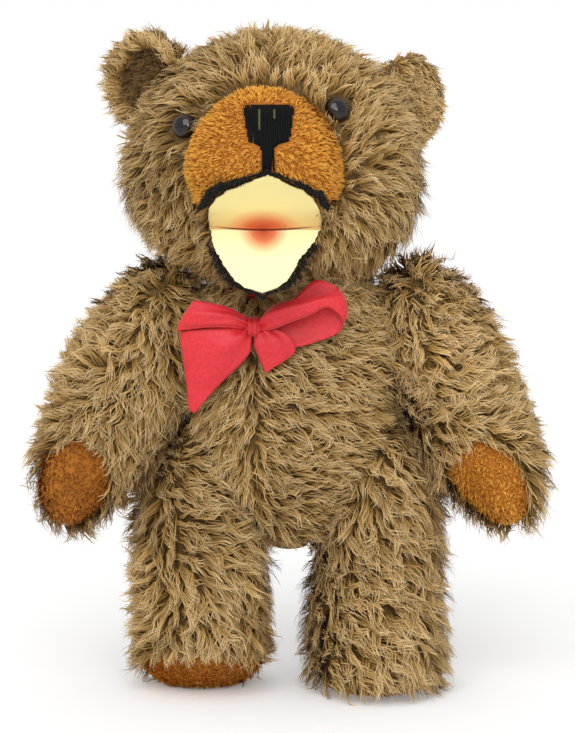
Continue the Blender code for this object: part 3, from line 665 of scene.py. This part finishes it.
# The black edge ends at the corners of the mouth
def cutBelow(obj, row):
    _, high, _ = seenAt(meshArrays(obj)[0])
    bm = bmesh.new()
    bm.from_mesh(obj.data)
    bm.verts.ensure_lookup_table()
    bmesh.ops.delete(bm, geom=[v for v in bm.verts if high[v.index] > row], context="VERTS")
    bmesh.ops.holes_fill(bm, edges=[e for e in bm.edges if e.is_boundary], sides=0)
    bm.to_mesh(obj.data)
    bm.free()


cutBelow(lips["upper_lip"], mouthSpec["corner"])
liningTree = treeOf(lining)
mouthTree = treeOf(lining, *lips.values())
muzzleTree = treeOf(muzzle)
faceClear = [clearFace(obj) for obj in (muzzle, lining, nodes["eye_left"], nodes["eye_right"])]
growPile(
    "head_pile", headCloth, pileMat, "head", headSpec, headFlow, headKeep, others("head"), faceClear,
)
growPile("chin_pile", headCloth, chinMat, "head", chinSpec, sameWay(0, -0.4, -1), chinKeep)
for side in ("left", "right"):
    ear = stuffed("ear_" + side, "ear_cloth_" + side, "head", brownCloth)
    low, high = boxOf("ear_" + side)
    middle, half = (low + high) / 2, (high - low) / 2
    base = middle * np.array((0.7, 1, 1)) - np.array((0, 0, 0.016))

    def isInside(p, n):
        return (np.hypot(*((p - middle) / half)[:, (0, 2)].T) < 0.66) & (n[:, 1] < -0.15)

    def outsideKeep(p, n):
        return ~isInside(p, n) & farFrom(headTree, 0.0008)(p)

    def insideKeep(p, n):
        return isInside(p, n) & farFrom(headTree, 0.0008)(p)

    # one ear stands open in the photo, the other is seen from its side with its hair lying down
    def earFlow(p, n):
        return p - base if side == "right" else (p - base) * 0.2 + np.array((0.004, 0.03, -0.03))

    outsideSpec = dict(earSpec, length=earLength[side])
    insideSpec = dict(earSpec, seed=33, hairs=900, length=0.009)
    # the hollow of the open ear takes the dark hair, painted shade
    insideMat = earHollowShadeMat if side == "right" else pileMat
    growPile("ear_pile_" + side, ear, pileMat, "head", outsideSpec, earFlow, outsideKeep)
    growPile("ear_inside_" + side, ear, insideMat, "head", insideSpec, earFlow, insideKeep)
print("head and ears grown")

# Nose: upright stitches laid side by side over the felt, two of them worn through to a light line
noseSpec = {
    "stitch": 0.00098, "height": 0.0016, "steps": 18, "worn": (-0.0056, 0.0036), "wornDepth": (0.80, 0.42),
    "left": (
        (105, 247), (108, 244), (120, 244.5), (135, 247), (142, 249), (144.5, 256), (147, 260), (154, 262.5),
        (171, 262),
    ),
    "right": (
        (105, 290), (108, 293.5), (118, 293), (135, 290.5), (142, 288), (144.5, 279), (147, 275), (154, 272.5),
        (171, 274),
    ),
    "rows": (105, 171), "middle": 268.5, "ends": (244, 293.5), "drop": 3.2,
}
yarnMat, tree, shader = newMaterial(
    "black_stitching", {"Roughness": 0.6, "Sheen Weight": 0.0, "Specular IOR Level": 0.15},
)
worn = uvAxis(tree, "worn", "X")
tree.links.new(addRamp(tree, worn, ((0, lin(2, 3, 4)), (1, lin(112, 106, 66)))), shader.inputs["Base Color"])
noseFront = boxOf("nose")[0][1] - 0.02
noseDepth = cameraSpec["distance"] + boxOf("nose")[0][1]
rowStep = noseDepth / cameraSpec["focal"]
noseTop = boxOf("nose")[1][2]
noseStart, noseEnd = noseSpec["rows"]


def noseSide(side, rows):
    return np.interp(rows, *np.array(noseSpec[side]).T)


# Picture steps to metres on the front of the muzzle
def noseX(across):
    return (across - cameraSpec["middle"][0]) * rowStep


def noseZ(row):
    return noseTop - (row - (noseStart - noseSpec["drop"])) * rowStep


noseMiddle = noseX(noseSpec["middle"])


def noseSpan(x):
    rows = np.linspace(noseStart, noseEnd, 200)
    inside = (noseX(noseSide("left", rows)) <= x) & (noseX(noseSide("right", rows)) >= x)
    return (noseZ(rows[inside].max()), noseZ(rows[inside].min())) if inside.any() else None


rng = np.random.default_rng(81)
bm = bmesh.new()
wornLayer = bm.loops.layers.uv.new("worn")
noseLeft, noseRight = (noseX(across) for across in noseSpec["ends"])
stitchCount = int((noseRight - noseLeft) / noseSpec["stitch"])
for k in range(stitchCount + 1):
    x = noseLeft + 0.0002 + (noseRight - noseLeft - 0.0004) * k / stitchCount
    span = noseSpan(x)
    if span is None:
        continue
    low, high = span
    lean = rng.normal(0, 0.00022)
    rings = []
    for step in range(noseSpec["steps"] + 1):
        share = step / noseSpec["steps"]
        z = high + 0.0002 - (high - low + 0.0004) * share
        sx = x + lean * (share - 0.5) * 2 + rng.normal(0, 0.00006)
        hit = muzzleTree.ray_cast(Vector((sx, noseFront, min(max(z, low), high))), Vector((0, 1, 0)))
        if hit[0] is None:
            continue
        rim = math.sqrt(max(0.0, 1 - (2 * share - 1) ** 6))
        half = noseSpec["stitch"] * 0.64
        top = hit[0].y - noseSpec["height"] * (0.45 + 0.55 * rim)
        base = hit[0].y + 0.0004
        shoulder = top + 0.00028
        ring = [
            (sx - half, base), (sx - half * 0.92, shoulder), (sx, top), (sx + half * 0.92, shoulder),
            (sx + half, base),
        ]
        rings.append([bm.verts.new((px, py, z)) for px, py in ring])
    offset = x - noseMiddle
    wear = 0.0
    for place, depth in zip(noseSpec["worn"], noseSpec["wornDepth"]):
        if abs(offset - place) < noseSpec["stitch"] * 0.5:
            wear = depth
    for number, (one, two) in enumerate(zip(rings, rings[1:])):
        share = number / noseSpec["steps"]
        shown = 1.0 if 0.06 < share < wear * 0.75 else 0.0
        for j in range(4):
            face = bm.faces.new((one[j], two[j], two[j + 1], one[j + 1]))
            face.smooth = True
            for loop in face.loops:
                loop[wornLayer].uv = (shown * rng.uniform(0.5, 1.0), 0)
    for ring in (rings[0], rings[-1]):
        bm.faces.new(ring)
bmesh.ops.recalc_face_normals(bm, faces=bm.faces)
mesh = bpy.data.meshes.new("nose_stitches")
bm.to_mesh(mesh)
bm.free()
mesh.materials.append(yarnMat)
stitches = linked("nose_stitches", mesh)
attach(stitches, "head")
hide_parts("nose")
print("nose done")

# Muzzle
muzzleSpec = dict(shortHair, seed=41, hairs=10800, length=0.0036, width=0.0007, clearReach=0.004)
upperLipTree = treeOf(lips["upper_lip"])


def muzzleFlow(p, n):
    return (p - muzzleCentre) * np.array((1, 0, 0.35)) + np.array((0, 0.01, -0.012))


# Gold down to the corners of the mouth, brown below
def isGold(p):
    across, high, _ = seenAt(p)
    return high < np.where(across < 265, 203, 199.5)


def muzzleKeep(p, n):
    across, row, _ = seenAt(p)
    row = row - noseSpec["drop"]
    keep = (p[:, 1] < muzzleHigh[1] - 0.0006) & isGold(p)
    beside = (across < noseSide("left", row) + 1) | (across > noseSide("right", row) - 1)
    keep &= beside | (row < noseStart) | (row > noseEnd)
    for tree, gap in ((liningTree, 0.0030), (upperLipTree, 0.0009)):
        keep = narrowed(keep, farFrom(tree, gap), p)
    return keep


def cheekKeep(p, n):
    keep = (p[:, 1] < muzzleHigh[1] - 0.0006) & ~isGold(p)
    return narrowed(keep, farFrom(mouthTree, 0.0012), p)


def cheekFlow(p, n):
    return (p - muzzleCentre) * (1, 0, 0.5) + (0, 0, -0.02)


def rimKeep(p, n):
    _, high, _ = seenAt(p)
    keep = (p[:, 1] < -0.03) & ((high < 209) | (high > 240))
    rest = np.nonzero(keep)[0]
    keep[rest] = ~farFrom(liningTree, 0.0028)(p[rest])
    return keep


noseClear = [clearFace(stitches), clearFace(lips["upper_lip"])]
growPile("muzzle_pile", muzzle, goldMat, "head", muzzleSpec, muzzleFlow, muzzleKeep, (), noseClear)
cheekSpec = dict(longHair, seed=43, hairs=900, length=0.011)
liningClear = [clearFace(lining)]
growPile("cheek_pile", muzzle, pileMat, "head", cheekSpec, cheekFlow, cheekKeep, (), liningClear)
rimSpec = dict(shortHair, hairs=2200, length=0.0030, width=0.0007, steps=3, liftTip=50, clearReach=0.004)
for name, cloth, seed in (("upper_rim", muzzle, 45), ("lower_rim", headCloth, 46)):
    growPile(
        name, cloth, fuzzMat, "head", dict(rimSpec, seed=seed), sameWay(0, -0.6, -0.6), rimKeep, (),
        liningClear,
    )
print("muzzle grown")

# Body
torsoSpec = dict(longHair, seed=51, hairs=17800, length=0.0180, swirl=0.4, stray=0.36)
partingX = shift[0] - 0.020


def torsoFlow(p, n):
    across = (p[:, 0] - partingX) / 0.022
    front = np.clip(-n[:, 1] * 1.5, 0, 1)
    sideways = np.tanh(across) * front * 1.5
    down = -0.30 - 0.6 * (1 - front) - 0.7 * np.clip((0.135 - p[:, 2]) / 0.04, 0, 1)
    return np.stack([sideways, 0 * across, down], axis=1)


torso = stuffed("torso", "torso_cloth", "trunk", brownCloth)

# Ribbon: one strip round the neck, knotted in a bow. Places in mm from the bear's own middle
ribbonSpec = {"width": 0.030, "thickness": 0.00035, "layers": 5, "bandHalf": 0.0020, "bandLevel": 0.2545, "bandTilt": 5}
bowPatches = {
    "leftLoop": (
        ((-23, -62, 236), (-23, -64, 234), (-23, -64, 232), (-23, -62, 230.5)),
        ((-29, -64, 240.5), (-29, -68, 238), (-29, -68, 235), (-29, -65, 232)),
        ((-36, -67, 245), (-36, -71, 241), (-37, -71, 236), (-37, -68, 233)),
        ((-46, -68, 247.5), (-48, -73, 242), (-50, -72, 236), (-51, -69, 233)),
        ((-57, -66, 249), (-61, -69, 242), (-64, -68, 236), (-66, -65, 231)),
        ((-57, -61, 247), (-62, -62, 241), (-65, -61, 235), (-66, -61, 230)),
        ((-44, -58, 244), (-46, -58, 239), (-47, -58, 234), (-47, -58, 230)),
        ((-23, -58, 236), (-23, -58, 234), (-23, -58, 231), (-23, -58, 229)),
    ),
    "leftTail": (
        ((-29, -63, 232.5), (-27, -64, 232), (-25, -64, 231), (-23.5, -62, 230)),
        ((-41, -66, 232.5), (-34, -69, 229), (-28, -68, 226), (-23.5, -64, 224)),
        ((-54, -66, 232), (-44, -69, 225), (-34, -69, 220), (-24.5, -65, 217)),
        ((-65.5, -63, 230), (-53, -67, 220), (-41, -67, 214), (-30, -64, 210)),
        ((-64.5, -62, 214), (-56, -65, 208), (-48, -65, 203), (-40, -62, 200)),
        ((-62.5, -60, 198), (-58, -62, 194.5), (-54, -62, 192), (-50, -61, 189.5)),
        ((-60.8, -59, 182), (-60, -60, 181.3), (-59, -60, 180.6), (-57.5, -59, 180)),
    ),
    "rightLoop": (
        ((-20, -62, 236), (-20, -64, 234.5), (-20, -64, 231.5), (-20, -62, 229.5)),
        ((-12, -66, 244.5), (-12, -70, 241), (-11, -70, 236), (-10, -67, 231.5)),
        ((-2, -69, 248.5), (-2, -73, 244.5), (-1, -73, 240), (0, -70, 236)),
        ((9, -70, 250.5), (10, -73, 247), (11, -73, 243.5), (12, -71, 240.5)),
        ((20, -68, 252.5), (21, -71, 250), (22, -71, 247.5), (23, -70, 245.5)),
        ((29, -64, 255.5), (31, -67, 251), (32, -68, 245), (32, -67, 238)),
        ((29, -58, 257), (34, -61, 249), (35, -62, 239), (30, -62, 229.5)),
        ((16, -55, 261), (20, -58, 248), (22, -59, 236), (17, -61, 224)),
        ((3, -56, 250), (5, -57, 240), (7, -58, 230), (3.5, -61, 220.5)),
        ((-10, -57, 242), (-9, -57, 236), (-8, -58, 230), (-7, -60, 224)),
        ((-20, -58, 236), (-20, -58, 233), (-20, -59, 230), (-19, -60, 227)),
    ),
    "rightTail": (
        ((-20, -63, 229), (-17, -65, 230), (-14, -65, 231), (-10, -63, 232)),
        ((-21, -64, 222), (-14, -67, 224), (-7, -66, 226), (-1, -64, 228)),
        ((-18, -63, 214), (-11, -66, 217), (-4, -66, 219), (3.5, -63, 221)),
        ((-14.5, -62, 204.5), (-9, -64, 208.5), (-3, -64, 212.5), (3, -62, 216.5)),
    ),
    "knotFront": (
        ((-17.8, -58, 238.6), (-20, -63, 239), (-23.5, -63, 239), (-26, -58, 238.4)),
        ((-17, -61, 235.5), (-19.5, -67.5, 235.8), (-24, -67.5, 235.8), (-26.6, -62, 235.5)),
        ((-17.2, -62, 232), (-19.8, -68.5, 232), (-24, -68.5, 232), (-26.4, -63, 232)),
        ((-17.8, -61, 229), (-20, -66.5, 228.8), (-24, -66.5, 228.8), (-26, -62, 229)),
        ((-18.6, -57, 227), (-20.5, -62, 226.5), (-23, -62, 226.5), (-25, -57, 227)),
    ),
}
pleats = {"leftLoop": 3.0, "leftTail": 2.0, "rightLoop": 2.0, "rightTail": 2.0, "knotFront": 4.0}


def throughPoints(rows, count):
    rows = np.asarray(rows, float)
    padded = np.concatenate([2 * rows[:1] - rows[1:2], rows, 2 * rows[-1:] - rows[-2:-1]])
    place = np.linspace(0, len(rows) - 1, count)
    index = np.minimum(place.astype(int), len(rows) - 2)
    f = (place - index).reshape((-1,) + (1,) * (rows.ndim - 1))
    p0, p1, p2, p3 = (padded[index + k] for k in range(4))
    square, cube = 2 * p0 - 5 * p1 + 4 * p2 - p3, 3 * p1 - p0 - 3 * p2 + p3
    return 0.5 * (2 * p1 + (p2 - p0) * f + square * f ** 2 + cube * f ** 3)


def addGrid(bm, weave, grid):
    rows, cols, _ = grid.shape
    verts = [[bm.verts.new(grid[i, j]) for j in range(cols)] for i in range(rows)]
    along = np.concatenate([[0], np.cumsum(np.linalg.norm(np.diff(grid[:, cols // 2], axis=0), axis=1))])
    across = np.concatenate([[0], np.cumsum(np.linalg.norm(np.diff(grid[rows // 2], axis=0), axis=1))])
    for i in range(rows - 1):
        for j in range(cols - 1):
            face = bm.faces.new((verts[i][j], verts[i + 1][j], verts[i + 1][j + 1], verts[i][j + 1]))
            face.smooth = True
            for loop, (a, b) in zip(face.loops, ((i, j), (i + 1, j), (i + 1, j + 1), (i, j + 1))):
                loop[weave].uv = (along[a], across[b])


bm = bmesh.new()
weave = bm.loops.layers.uv.new("weave")
knotCentre = np.array((-22, -62, 232.5))
bowPoints, bowFaces = [], []
for name, rows in bowPatches.items():
    length = 16 if name == "knotFront" else 44
    grid = throughPoints(rows, length)
    grid = throughPoints(grid.transpose(1, 0, 2), 18).transpose(1, 0, 2)
    du, dv = np.gradient(grid, axis=(0, 1))
    normal = unit(np.cross(du, dv))
    away = np.linalg.norm((grid - knotCentre) * np.array((1, 0.4, 1)), axis=2)
    acrossShare = np.linspace(0, 1, grid.shape[1])[None, :]
    fold = np.sin(acrossShare * 2 * math.pi * pleats[name] + 0.7) * np.exp(-away / 20) * 1.3
    fold += 0.35 * swirl(grid.reshape(-1, 3), 9.0, 91).reshape(fold.shape) * np.clip(away / 20, 0, 1)
    grid = (grid + normal * fold[..., None]) * 0.001 + shift
    addGrid(bm, weave, grid)
    start = sum(len(part) for part in bowPoints)
    rowCount, columns = grid.shape[:2]
    corner = start + np.arange(rowCount - 1)[:, None] * columns + np.arange(columns - 1)[None, :]
    corner = corner.reshape(-1)
    bowPoints.append(grid.reshape(-1, 3))
    bowFaces.append(np.stack([corner, corner + columns, corner + columns + 1, corner + 1], axis=1))
# the band, gathered into layers round the neck
torsoTree = solidTrees["trunk"]
turns = np.linspace(0, 2 * math.pi, 97)
layerPath = []
for layer in range(ribbonSpec["layers"]):
    up = 1 if layer % 2 == 0 else -1
    depth = 0.0008 + 0.00036 * layer
    layerPath += [(-up * 1.0, depth), (0.0, depth + 0.00005), (up * 1.0, depth)]
band = []
for turn in turns:
    ray = Vector((math.sin(turn), -math.cos(turn), 0))
    level = ribbonSpec["bandLevel"] + math.sin(math.radians(ribbonSpec["bandTilt"])) * -math.cos(turn) * 0.05
    start = Vector((shift[0], shift[1], level)) + ray * 0.12
    hit = torsoTree.ray_cast(start, -ray)
    wobble = 0.0004 * math.sin(turn * 9) + 0.0002 * math.sin(turn * 23 + 1)
    row = []
    for up, depth in layerPath:
        out = ray * (depth + 0.0001 * math.sin(turn * 31))
        row.append(list(hit[0] + out + Vector((0, 0, up * ribbonSpec["bandHalf"] + wobble))))
    band.append(row)
addGrid(bm, weave, np.array(band))
# from the band to the knot
drop = []
for high in np.linspace(0.256, 0.234, 16):
    row = []
    for across in np.linspace(-0.0245, -0.0195, 6):
        hit = torsoTree.ray_cast(Vector((shift[0] + across, shift[1] - 0.14, high)), Vector((0, 1, 0)))
        row.append((hit[0].x, hit[0].y - 0.0010, high))
    drop.append(row)
addGrid(bm, weave, np.array(drop)[:, ::-1])
mesh = bpy.data.meshes.new("ribbon_bow")
bm.to_mesh(mesh)
bm.free()
ribbon = linked("ribbon_bow", mesh)
mod = ribbon.modifiers.new("thickness", "SOLIDIFY")
mod.thickness = ribbonSpec["thickness"]
mod.offset = 0
applyAll(ribbon)
ribbonMat, tree, shader = newMaterial("red_cotton", {"Roughness": 0.5, "Sheen Weight": 0.3, "Sheen Roughness": 0.35})
u, v = uvAxis(tree, "weave", "X"), uvAxis(tree, "weave", "Y")
warp = addMath(tree, "SINE", addMath(tree, "MULTIPLY", u, 2 * math.pi / 0.0005))
weft = addMath(tree, "SINE", addMath(tree, "MULTIPLY", v, 2 * math.pi / 0.0005))
threads = addMath(tree, "MULTIPLY", warp, weft)
slub = addNoise(tree, 500, 4, 0.6)
colour = addRamp(tree, slub, ((0.3, lin(206, 30, 42)), (0.7, lin(226, 46, 54))))
tree.links.new(colour, shader.inputs["Base Color"])
addBump(tree, shader, addMath(tree, "ADD", threads, slub), 0.12, 0.0003)
ribbon.data.materials.append(ribbonMat)
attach(ribbon, "trunk")
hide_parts("neck_ribbon")

# Hair of the body, over the band and clear of the bow
def torsoKeep(p, n):
    return (p[:, 2] > 0.1) | (n[:, 2] > -0.55)


def collarKeep(p, n):
    return (p[:, 2] > 0.2380) & (p[:, 2] < 0.2625) & (np.abs(n[:, 2]) < 0.9)


bowPoints, bowFaces = np.concatenate(bowPoints), np.concatenate(bowFaces)
bowTree = BVHTree.FromPolygons(bowPoints.tolist(), bowFaces.tolist())
ribbonClear = [(bowTree, bowPoints.min(0), bowPoints.max(0), Vector((0, 1, 0)))]
growPile(
    "torso_pile", torso, pileMat, "trunk", torsoSpec, torsoFlow, torsoKeep, others("trunk"),
    ribbonClear,
)
collarSpec = dict(longHair, seed=53, hairs=3400, length=0.0150, liftRoot=62, liftTip=12)
growPile("collar_pile", torso, pileMat, "trunk", collarSpec, torsoFlow, collarKeep, (), ribbonClear)
print("body grown")

# Arms and legs with their pads
armSpec = dict(longHair, hairs=14000, length=0.0200, curl=0.0030, swirl=0.75, stray=0.42)
legSpec = dict(longHair, hairs=14000, length=0.0215, liftTip=10, curl=0.0028, swirl=0.8, stray=0.40)
pawSpec = dict(shortHair, hairs=2400, length=0.0034, frizz=0.0002)
# the right paw takes the darker copy of the gold hair, painted shade
pawMats = {"left": goldMat, "right": paintedShadePawMat}
legParting = shift[0] - 0.078


def legFlow(p, n):
    apart = np.where(p[:, 0] < shift[0], np.tanh((p[:, 0] - legParting) / 0.012) * 1.3, 0.55)
    return np.stack([apart, 0 * apart, np.full(len(p), -0.6)], axis=1)


def legKeep(p, n):
    return p[:, 2] > 0.004


def pawKeep(p, n):
    return n[:, 1] < 0.25


def soleKeep(p, n):
    return (p[:, 2] > 0.0012) & (n[:, 2] < 0.3)


for side, s, seed in (("left", 1, 61), ("right", -1, 62)):
    shoulder = centreOf("arm_" + side)
    pawLow, pawHigh = boxOf("paw_pad_" + side)

    def armFlow(p, n):
        inward = np.where(p[:, 1] < shoulder[1] + 0.004, 1.0, -1.0) * np.clip(n[:, 2] * 1.6, 0, 1)
        return np.stack([0.35 * s + 0 * inward, inward * 1.2 - 0.15, np.full(len(p), -1.0)], axis=1)

    def armKeep(p, n):
        return (p[:, 2] > pawLow[2] + 0.004) | (p[:, 1] > pawHigh[1])

    for limb, pad, spec, flow, keep in (
        ("arm", "paw_pad_", dict(armSpec, seed=seed), armFlow, armKeep),
        ("leg", "foot_pad_", dict(legSpec, seed=seed + 10), legFlow, legKeep),
    ):
        body = limb + "_" + side
        cloth = stuffed(body, limb + "_cloth_" + side, body, brownCloth)
        growPile(
            limb + "_pile_" + side, cloth, pileMat, body, spec, flow, keep, others(body),
            [clearFace(nodes[pad + side])],
        )
    # the soles take the lighter copy of the gold hair, painted light
    for limb, pad, node, mat, spec, flow, keep in (
        ("arm_", "paw", "paw_pad_", pawMats[side], dict(pawSpec, seed=seed + 20), sameWay(0, 0, -1), pawKeep),
        ("leg_", "sole", "foot_pad_", paintedLightSoleMat, dict(pawSpec, seed=seed + 30), sameWay(0, -1, 0.2), soleKeep),
    ):
        cloth = stuffed(node + side, pad + "_cloth_" + side, limb + side, goldCloth)
        growPile(pad + "_pile_" + side, cloth, mat, limb + side, spec, flow, keep)
print("arms and legs grown")

# Mouth lining, sprayed red along its fold, with painted shade on the palate towards the fold, a painted shadow line in
# the crease and painted light on the lower half
liningSpec = {
    # shaded: painted shade of the palate near the fold; lower: painted light on the lower half; fold: the painted
    # shadow in the crease
    "upper": lin(252, 236, 160), "shaded": lin(226, 178, 108), "lower": lin(254, 250, 194),
    "red": lin(192, 56, 12), "orange": lin(234, 110, 42), "fold": lin(70, 8, 4),
    "above": (0.0235, 0.0125), "below": (0.0150, 0.0150), "turned": -3, "reach": 0.034,
}
points, _, _ = meshArrays(lining)
turned = math.radians(liningSpec["turned"])
faceBack = points @ np.array((-math.sin(turned), math.cos(turned), 0))
fold = points[faceBack > faceBack.max() - 0.0015].mean(0)
fold[0] = (boxOf("mouth_lining")[0][0] + boxOf("mouth_lining")[1][0]) / 2
mat, tree, shader = newMaterial("cream_velour", {"Roughness": 0.9, "Sheen Weight": 0.25})
spot = tree.nodes.new("ShaderNodeTexCoord")
place = addNode(tree, "ShaderNodeVectorMath", operation="SUBTRACT")
tree.links.new(spot.outputs["Object"], place.inputs[0])
place.inputs[1].default_value = fold
axes = tree.nodes.new("ShaderNodeSeparateXYZ")
tree.links.new(place.outputs[0], axes.inputs[0])
x, z = axes.outputs["X"], axes.outputs["Z"]
grain = addNoise(tree, 1400, 5, 0.7)
above = addMath(tree, "MAXIMUM", addMath(tree, "DIVIDE", z, liningSpec["reach"]), 0.0)
# painted shade: the palate darkens towards the fold
upperColour = addRamp(tree, above, ((0, liningSpec["shaded"]), (0.42, liningSpec["upper"])))
isUpper = addNode(tree, "ShaderNodeMapRange", interpolation_type="SMOOTHSTEP")
setInputs(isUpper, {"From Min": -0.0006, "From Max": 0.0006})
tree.links.new(z, isUpper.inputs["Value"])
upperShare = isUpper.outputs["Result"]
# the lower half takes a lighter cream, painted light from above
cream = addMix(tree, "MIX", upperShare, liningSpec["lower"], upperColour)


def squared(axis, size):
    return addMath(tree, "POWER", addMath(tree, "ABSOLUTE", addMath(tree, "DIVIDE", axis, size)), 2.0)


lobes = []
for key in ("above", "below"):
    wide, high = liningSpec[key]
    lobes.append(addMath(tree, "SQRT", addMath(tree, "ADD", squared(x, wide), squared(z, high))))
far = addMath(tree, "ADD", lobes[1], addMath(tree, "MULTIPLY", upperShare, addMath(tree, "SUBTRACT", *lobes)))
far = addMath(tree, "ADD", far, addMath(tree, "MULTIPLY", addMath(tree, "SUBTRACT", grain, 0.5), 0.3))
sprayStops = ((0, 1.0), (0.45, 0.88), (0.78, 0.34), (1.0, 0.0))
sprayed = addRamp(tree, far, [(place, (level,) * 3) for place, level in sprayStops])
redness = addRamp(tree, far, ((0.0, liningSpec["red"]), (0.7, liningSpec["orange"])))
colour = addMix(tree, "MIX", sprayed, cream, redness)
# painted shadow: a dark line along the crease of the fold
bend = addMath(tree, "SUBTRACT", z, addMath(tree, "MULTIPLY", squared(x, 1.0), 2.2))
near = addMath(tree, "DIVIDE", addMath(tree, "ABSOLUTE", bend), 0.0009)
ends = addMath(tree, "POWER", addMath(tree, "ABSOLUTE", addMath(tree, "DIVIDE", x, liningSpec["reach"])), 4.0)
line = addRamp(tree, addMath(tree, "ADD", near, ends), ((0.15, (1, 1, 1)), (1.0, (0, 0, 0))))
colour = addMix(tree, "MIX", line, colour, liningSpec["fold"])
tree.links.new(colour, shader.inputs["Base Color"])
addBump(tree, shader, grain, 0.25, 0.0006)
lining.data.materials[0] = mat

# Black edges of the mouth
for node, hairs in (("upper_lip", 1500), ("lower_lip", 1300)):
    lip = lips[node]
    fuzzSpec = dict(shortHair, seed=71, hairs=hairs, length=0.0016, width=0.0005, steps=3)
    growPile(node + "_fuzz", lip, fuzzMat, "head", fuzzSpec, sameWay(0, -0.3, -1))
print("mouth done")

# Eyes: black pupil in dark brown glass
eyeMat, tree, shader = newMaterial("brown_glass", {
    "Roughness": 0.04, "Specular IOR Level": 0.4, "Coat Weight": 0.35, "Coat Roughness": 0.02,
})
eyeSpec = {
    "grown": 1.14, "outward": 0.0030, "radius": 0.0072,
    "stops": ((0.0, lin(6, 6, 9)), (0.62, lin(9, 8, 10)), (0.76, lin(44, 27, 16)), (1.0, lin(24, 16, 12))),
}
tree.links.new(addRamp(tree, uvAxis(tree, "iris", "X"), eyeSpec["stops"]), shader.inputs["Base Color"])
for side in ("left", "right"):
    eye = copyOf("eye_" + side, "eye_ball_" + side, 2)
    centre = centreOf("eye_" + side)
    outward = unit(centre - np.array((shift[0] - 0.01, neckAt[1] + 0.06, centre[2] - 0.004)))
    co, _, _ = meshArrays(eye)
    co = centre + (co - centre) * eyeSpec["grown"] + outward * eyeSpec["outward"]
    centre = centre + outward * eyeSpec["outward"]
    setPoints(eye, co)
    radial = co - centre
    off = np.linalg.norm(radial - (radial @ outward)[:, None] * outward, axis=1) / eyeSpec["radius"]
    iris = eye.data.uv_layers.new(name="iris")
    for loop in eye.data.loops:
        iris.uv[loop.index].vector = (off[loop.vertex_index], 0)
    eye.data.materials.append(eyeMat)
    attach(eye, "head")
    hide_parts("eye_" + side)
print("eyes done")

# Joint hardware inside the cloth
steelMat = newMaterial("dull_steel", {"Roughness": 0.35, "Base Color": (0.55, 0.55, 0.56, 1), "Metallic": 1.0})[0]
boardMat = clothMaterial("brown_hardboard", lin(98, 66, 38), lin(132, 92, 56), 700, 0.2, 0.8)
for name, node in nodes.items():
    if name.endswith(("_washer", "_pin", "_disc")):
        node.data.materials.clear()
        node.data.materials.append(boardMat if name.endswith("_disc") else steelMat)

# Floor and light
def aim(obj, way):
    obj.rotation_euler = Vector(way).to_track_quat("-Z", "Y").to_euler()


stageSpec = {
    "size": 12.0, "world": 0.70, "floor": 0.90, "lift": 0.19,
    "sun": 1.35, "sunAngle": 46, "sunWay": (0.18, 0.95, -0.78),
    "window": 2.5, "windowSize": 0.45, "windowPlace": (0.25, -1.3, 0.75),
}
bpy.ops.mesh.primitive_plane_add(size=stageSpec["size"])
floor = bpy.context.object
floor.name = "floor"
floorMat, tree, shader = newMaterial("pale_floor", {
    "Roughness": 0.9, "Specular IOR Level": 0.1, "Base Color": (stageSpec["floor"],) * 3 + (1,),
    "Emission Color": (1, 1, 1, 1),
})
ray = tree.nodes.new("ShaderNodeLightPath")
lift = addMath(tree, "MULTIPLY", ray.outputs["Is Camera Ray"], stageSpec["lift"])
tree.links.new(lift, shader.inputs["Emission Strength"])
floor.data.materials.append(floorMat)
floor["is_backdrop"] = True

world = bpy.data.worlds.new("studio")
scene.world = world
world.use_nodes = True
tree = world.node_tree
back = tree.nodes["Background"]
back.inputs["Color"].default_value = (1, 1, 1, 1)
ray = tree.nodes.new("ShaderNodeLightPath")
shown = addMath(tree, "MAXIMUM", ray.outputs["Is Camera Ray"], ray.outputs["Is Transmission Ray"])
level = tree.nodes.new("ShaderNodeMapRange")
setInputs(level, {"To Min": stageSpec["world"], "To Max": 1.0})
tree.links.new(shown, level.inputs["Value"])
tree.links.new(level.outputs["Result"], back.inputs["Strength"])

bpy.ops.object.light_add(type="SUN", location=(-0.6, -1.2, 1.5))
sun = bpy.context.object
sun.name = "key"
sun.data.energy = stageSpec["sun"]
sun.data.angle = math.radians(stageSpec["sunAngle"])
aim(sun, stageSpec["sunWay"])
bpy.ops.object.light_add(type="AREA", location=stageSpec["windowPlace"])
glint = bpy.context.object
glint.name = "window"
glint.data.size = stageSpec["windowSize"]
glint.data.energy = stageSpec["window"]
aim(glint, Vector((0, 0, 0.3)) - glint.location)

bpy.ops.object.camera_add()
camera = bpy.context.object
camera.name = "camera"
look = Vector(cameraSpec["look"])
rise = math.radians(cameraSpec["rise"])
camera.location = look + Vector((0, -math.cos(rise), math.sin(rise))) * cameraSpec["distance"]
aim(camera, look - camera.location)
camera.data.lens = cameraSpec["lens"]
camera.data.sensor_width = 36
scene.camera = camera
bpy.context.view_layer.update()

shownBox = [list(corner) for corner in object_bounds()]
grown = [round((shownBox[1][k] - shownBox[0][k] - cadBox[1][k] + cadBox[0][k]) * 1000, 1) for k in range(3)]
print("proud of the CAD box, mm:", grown)
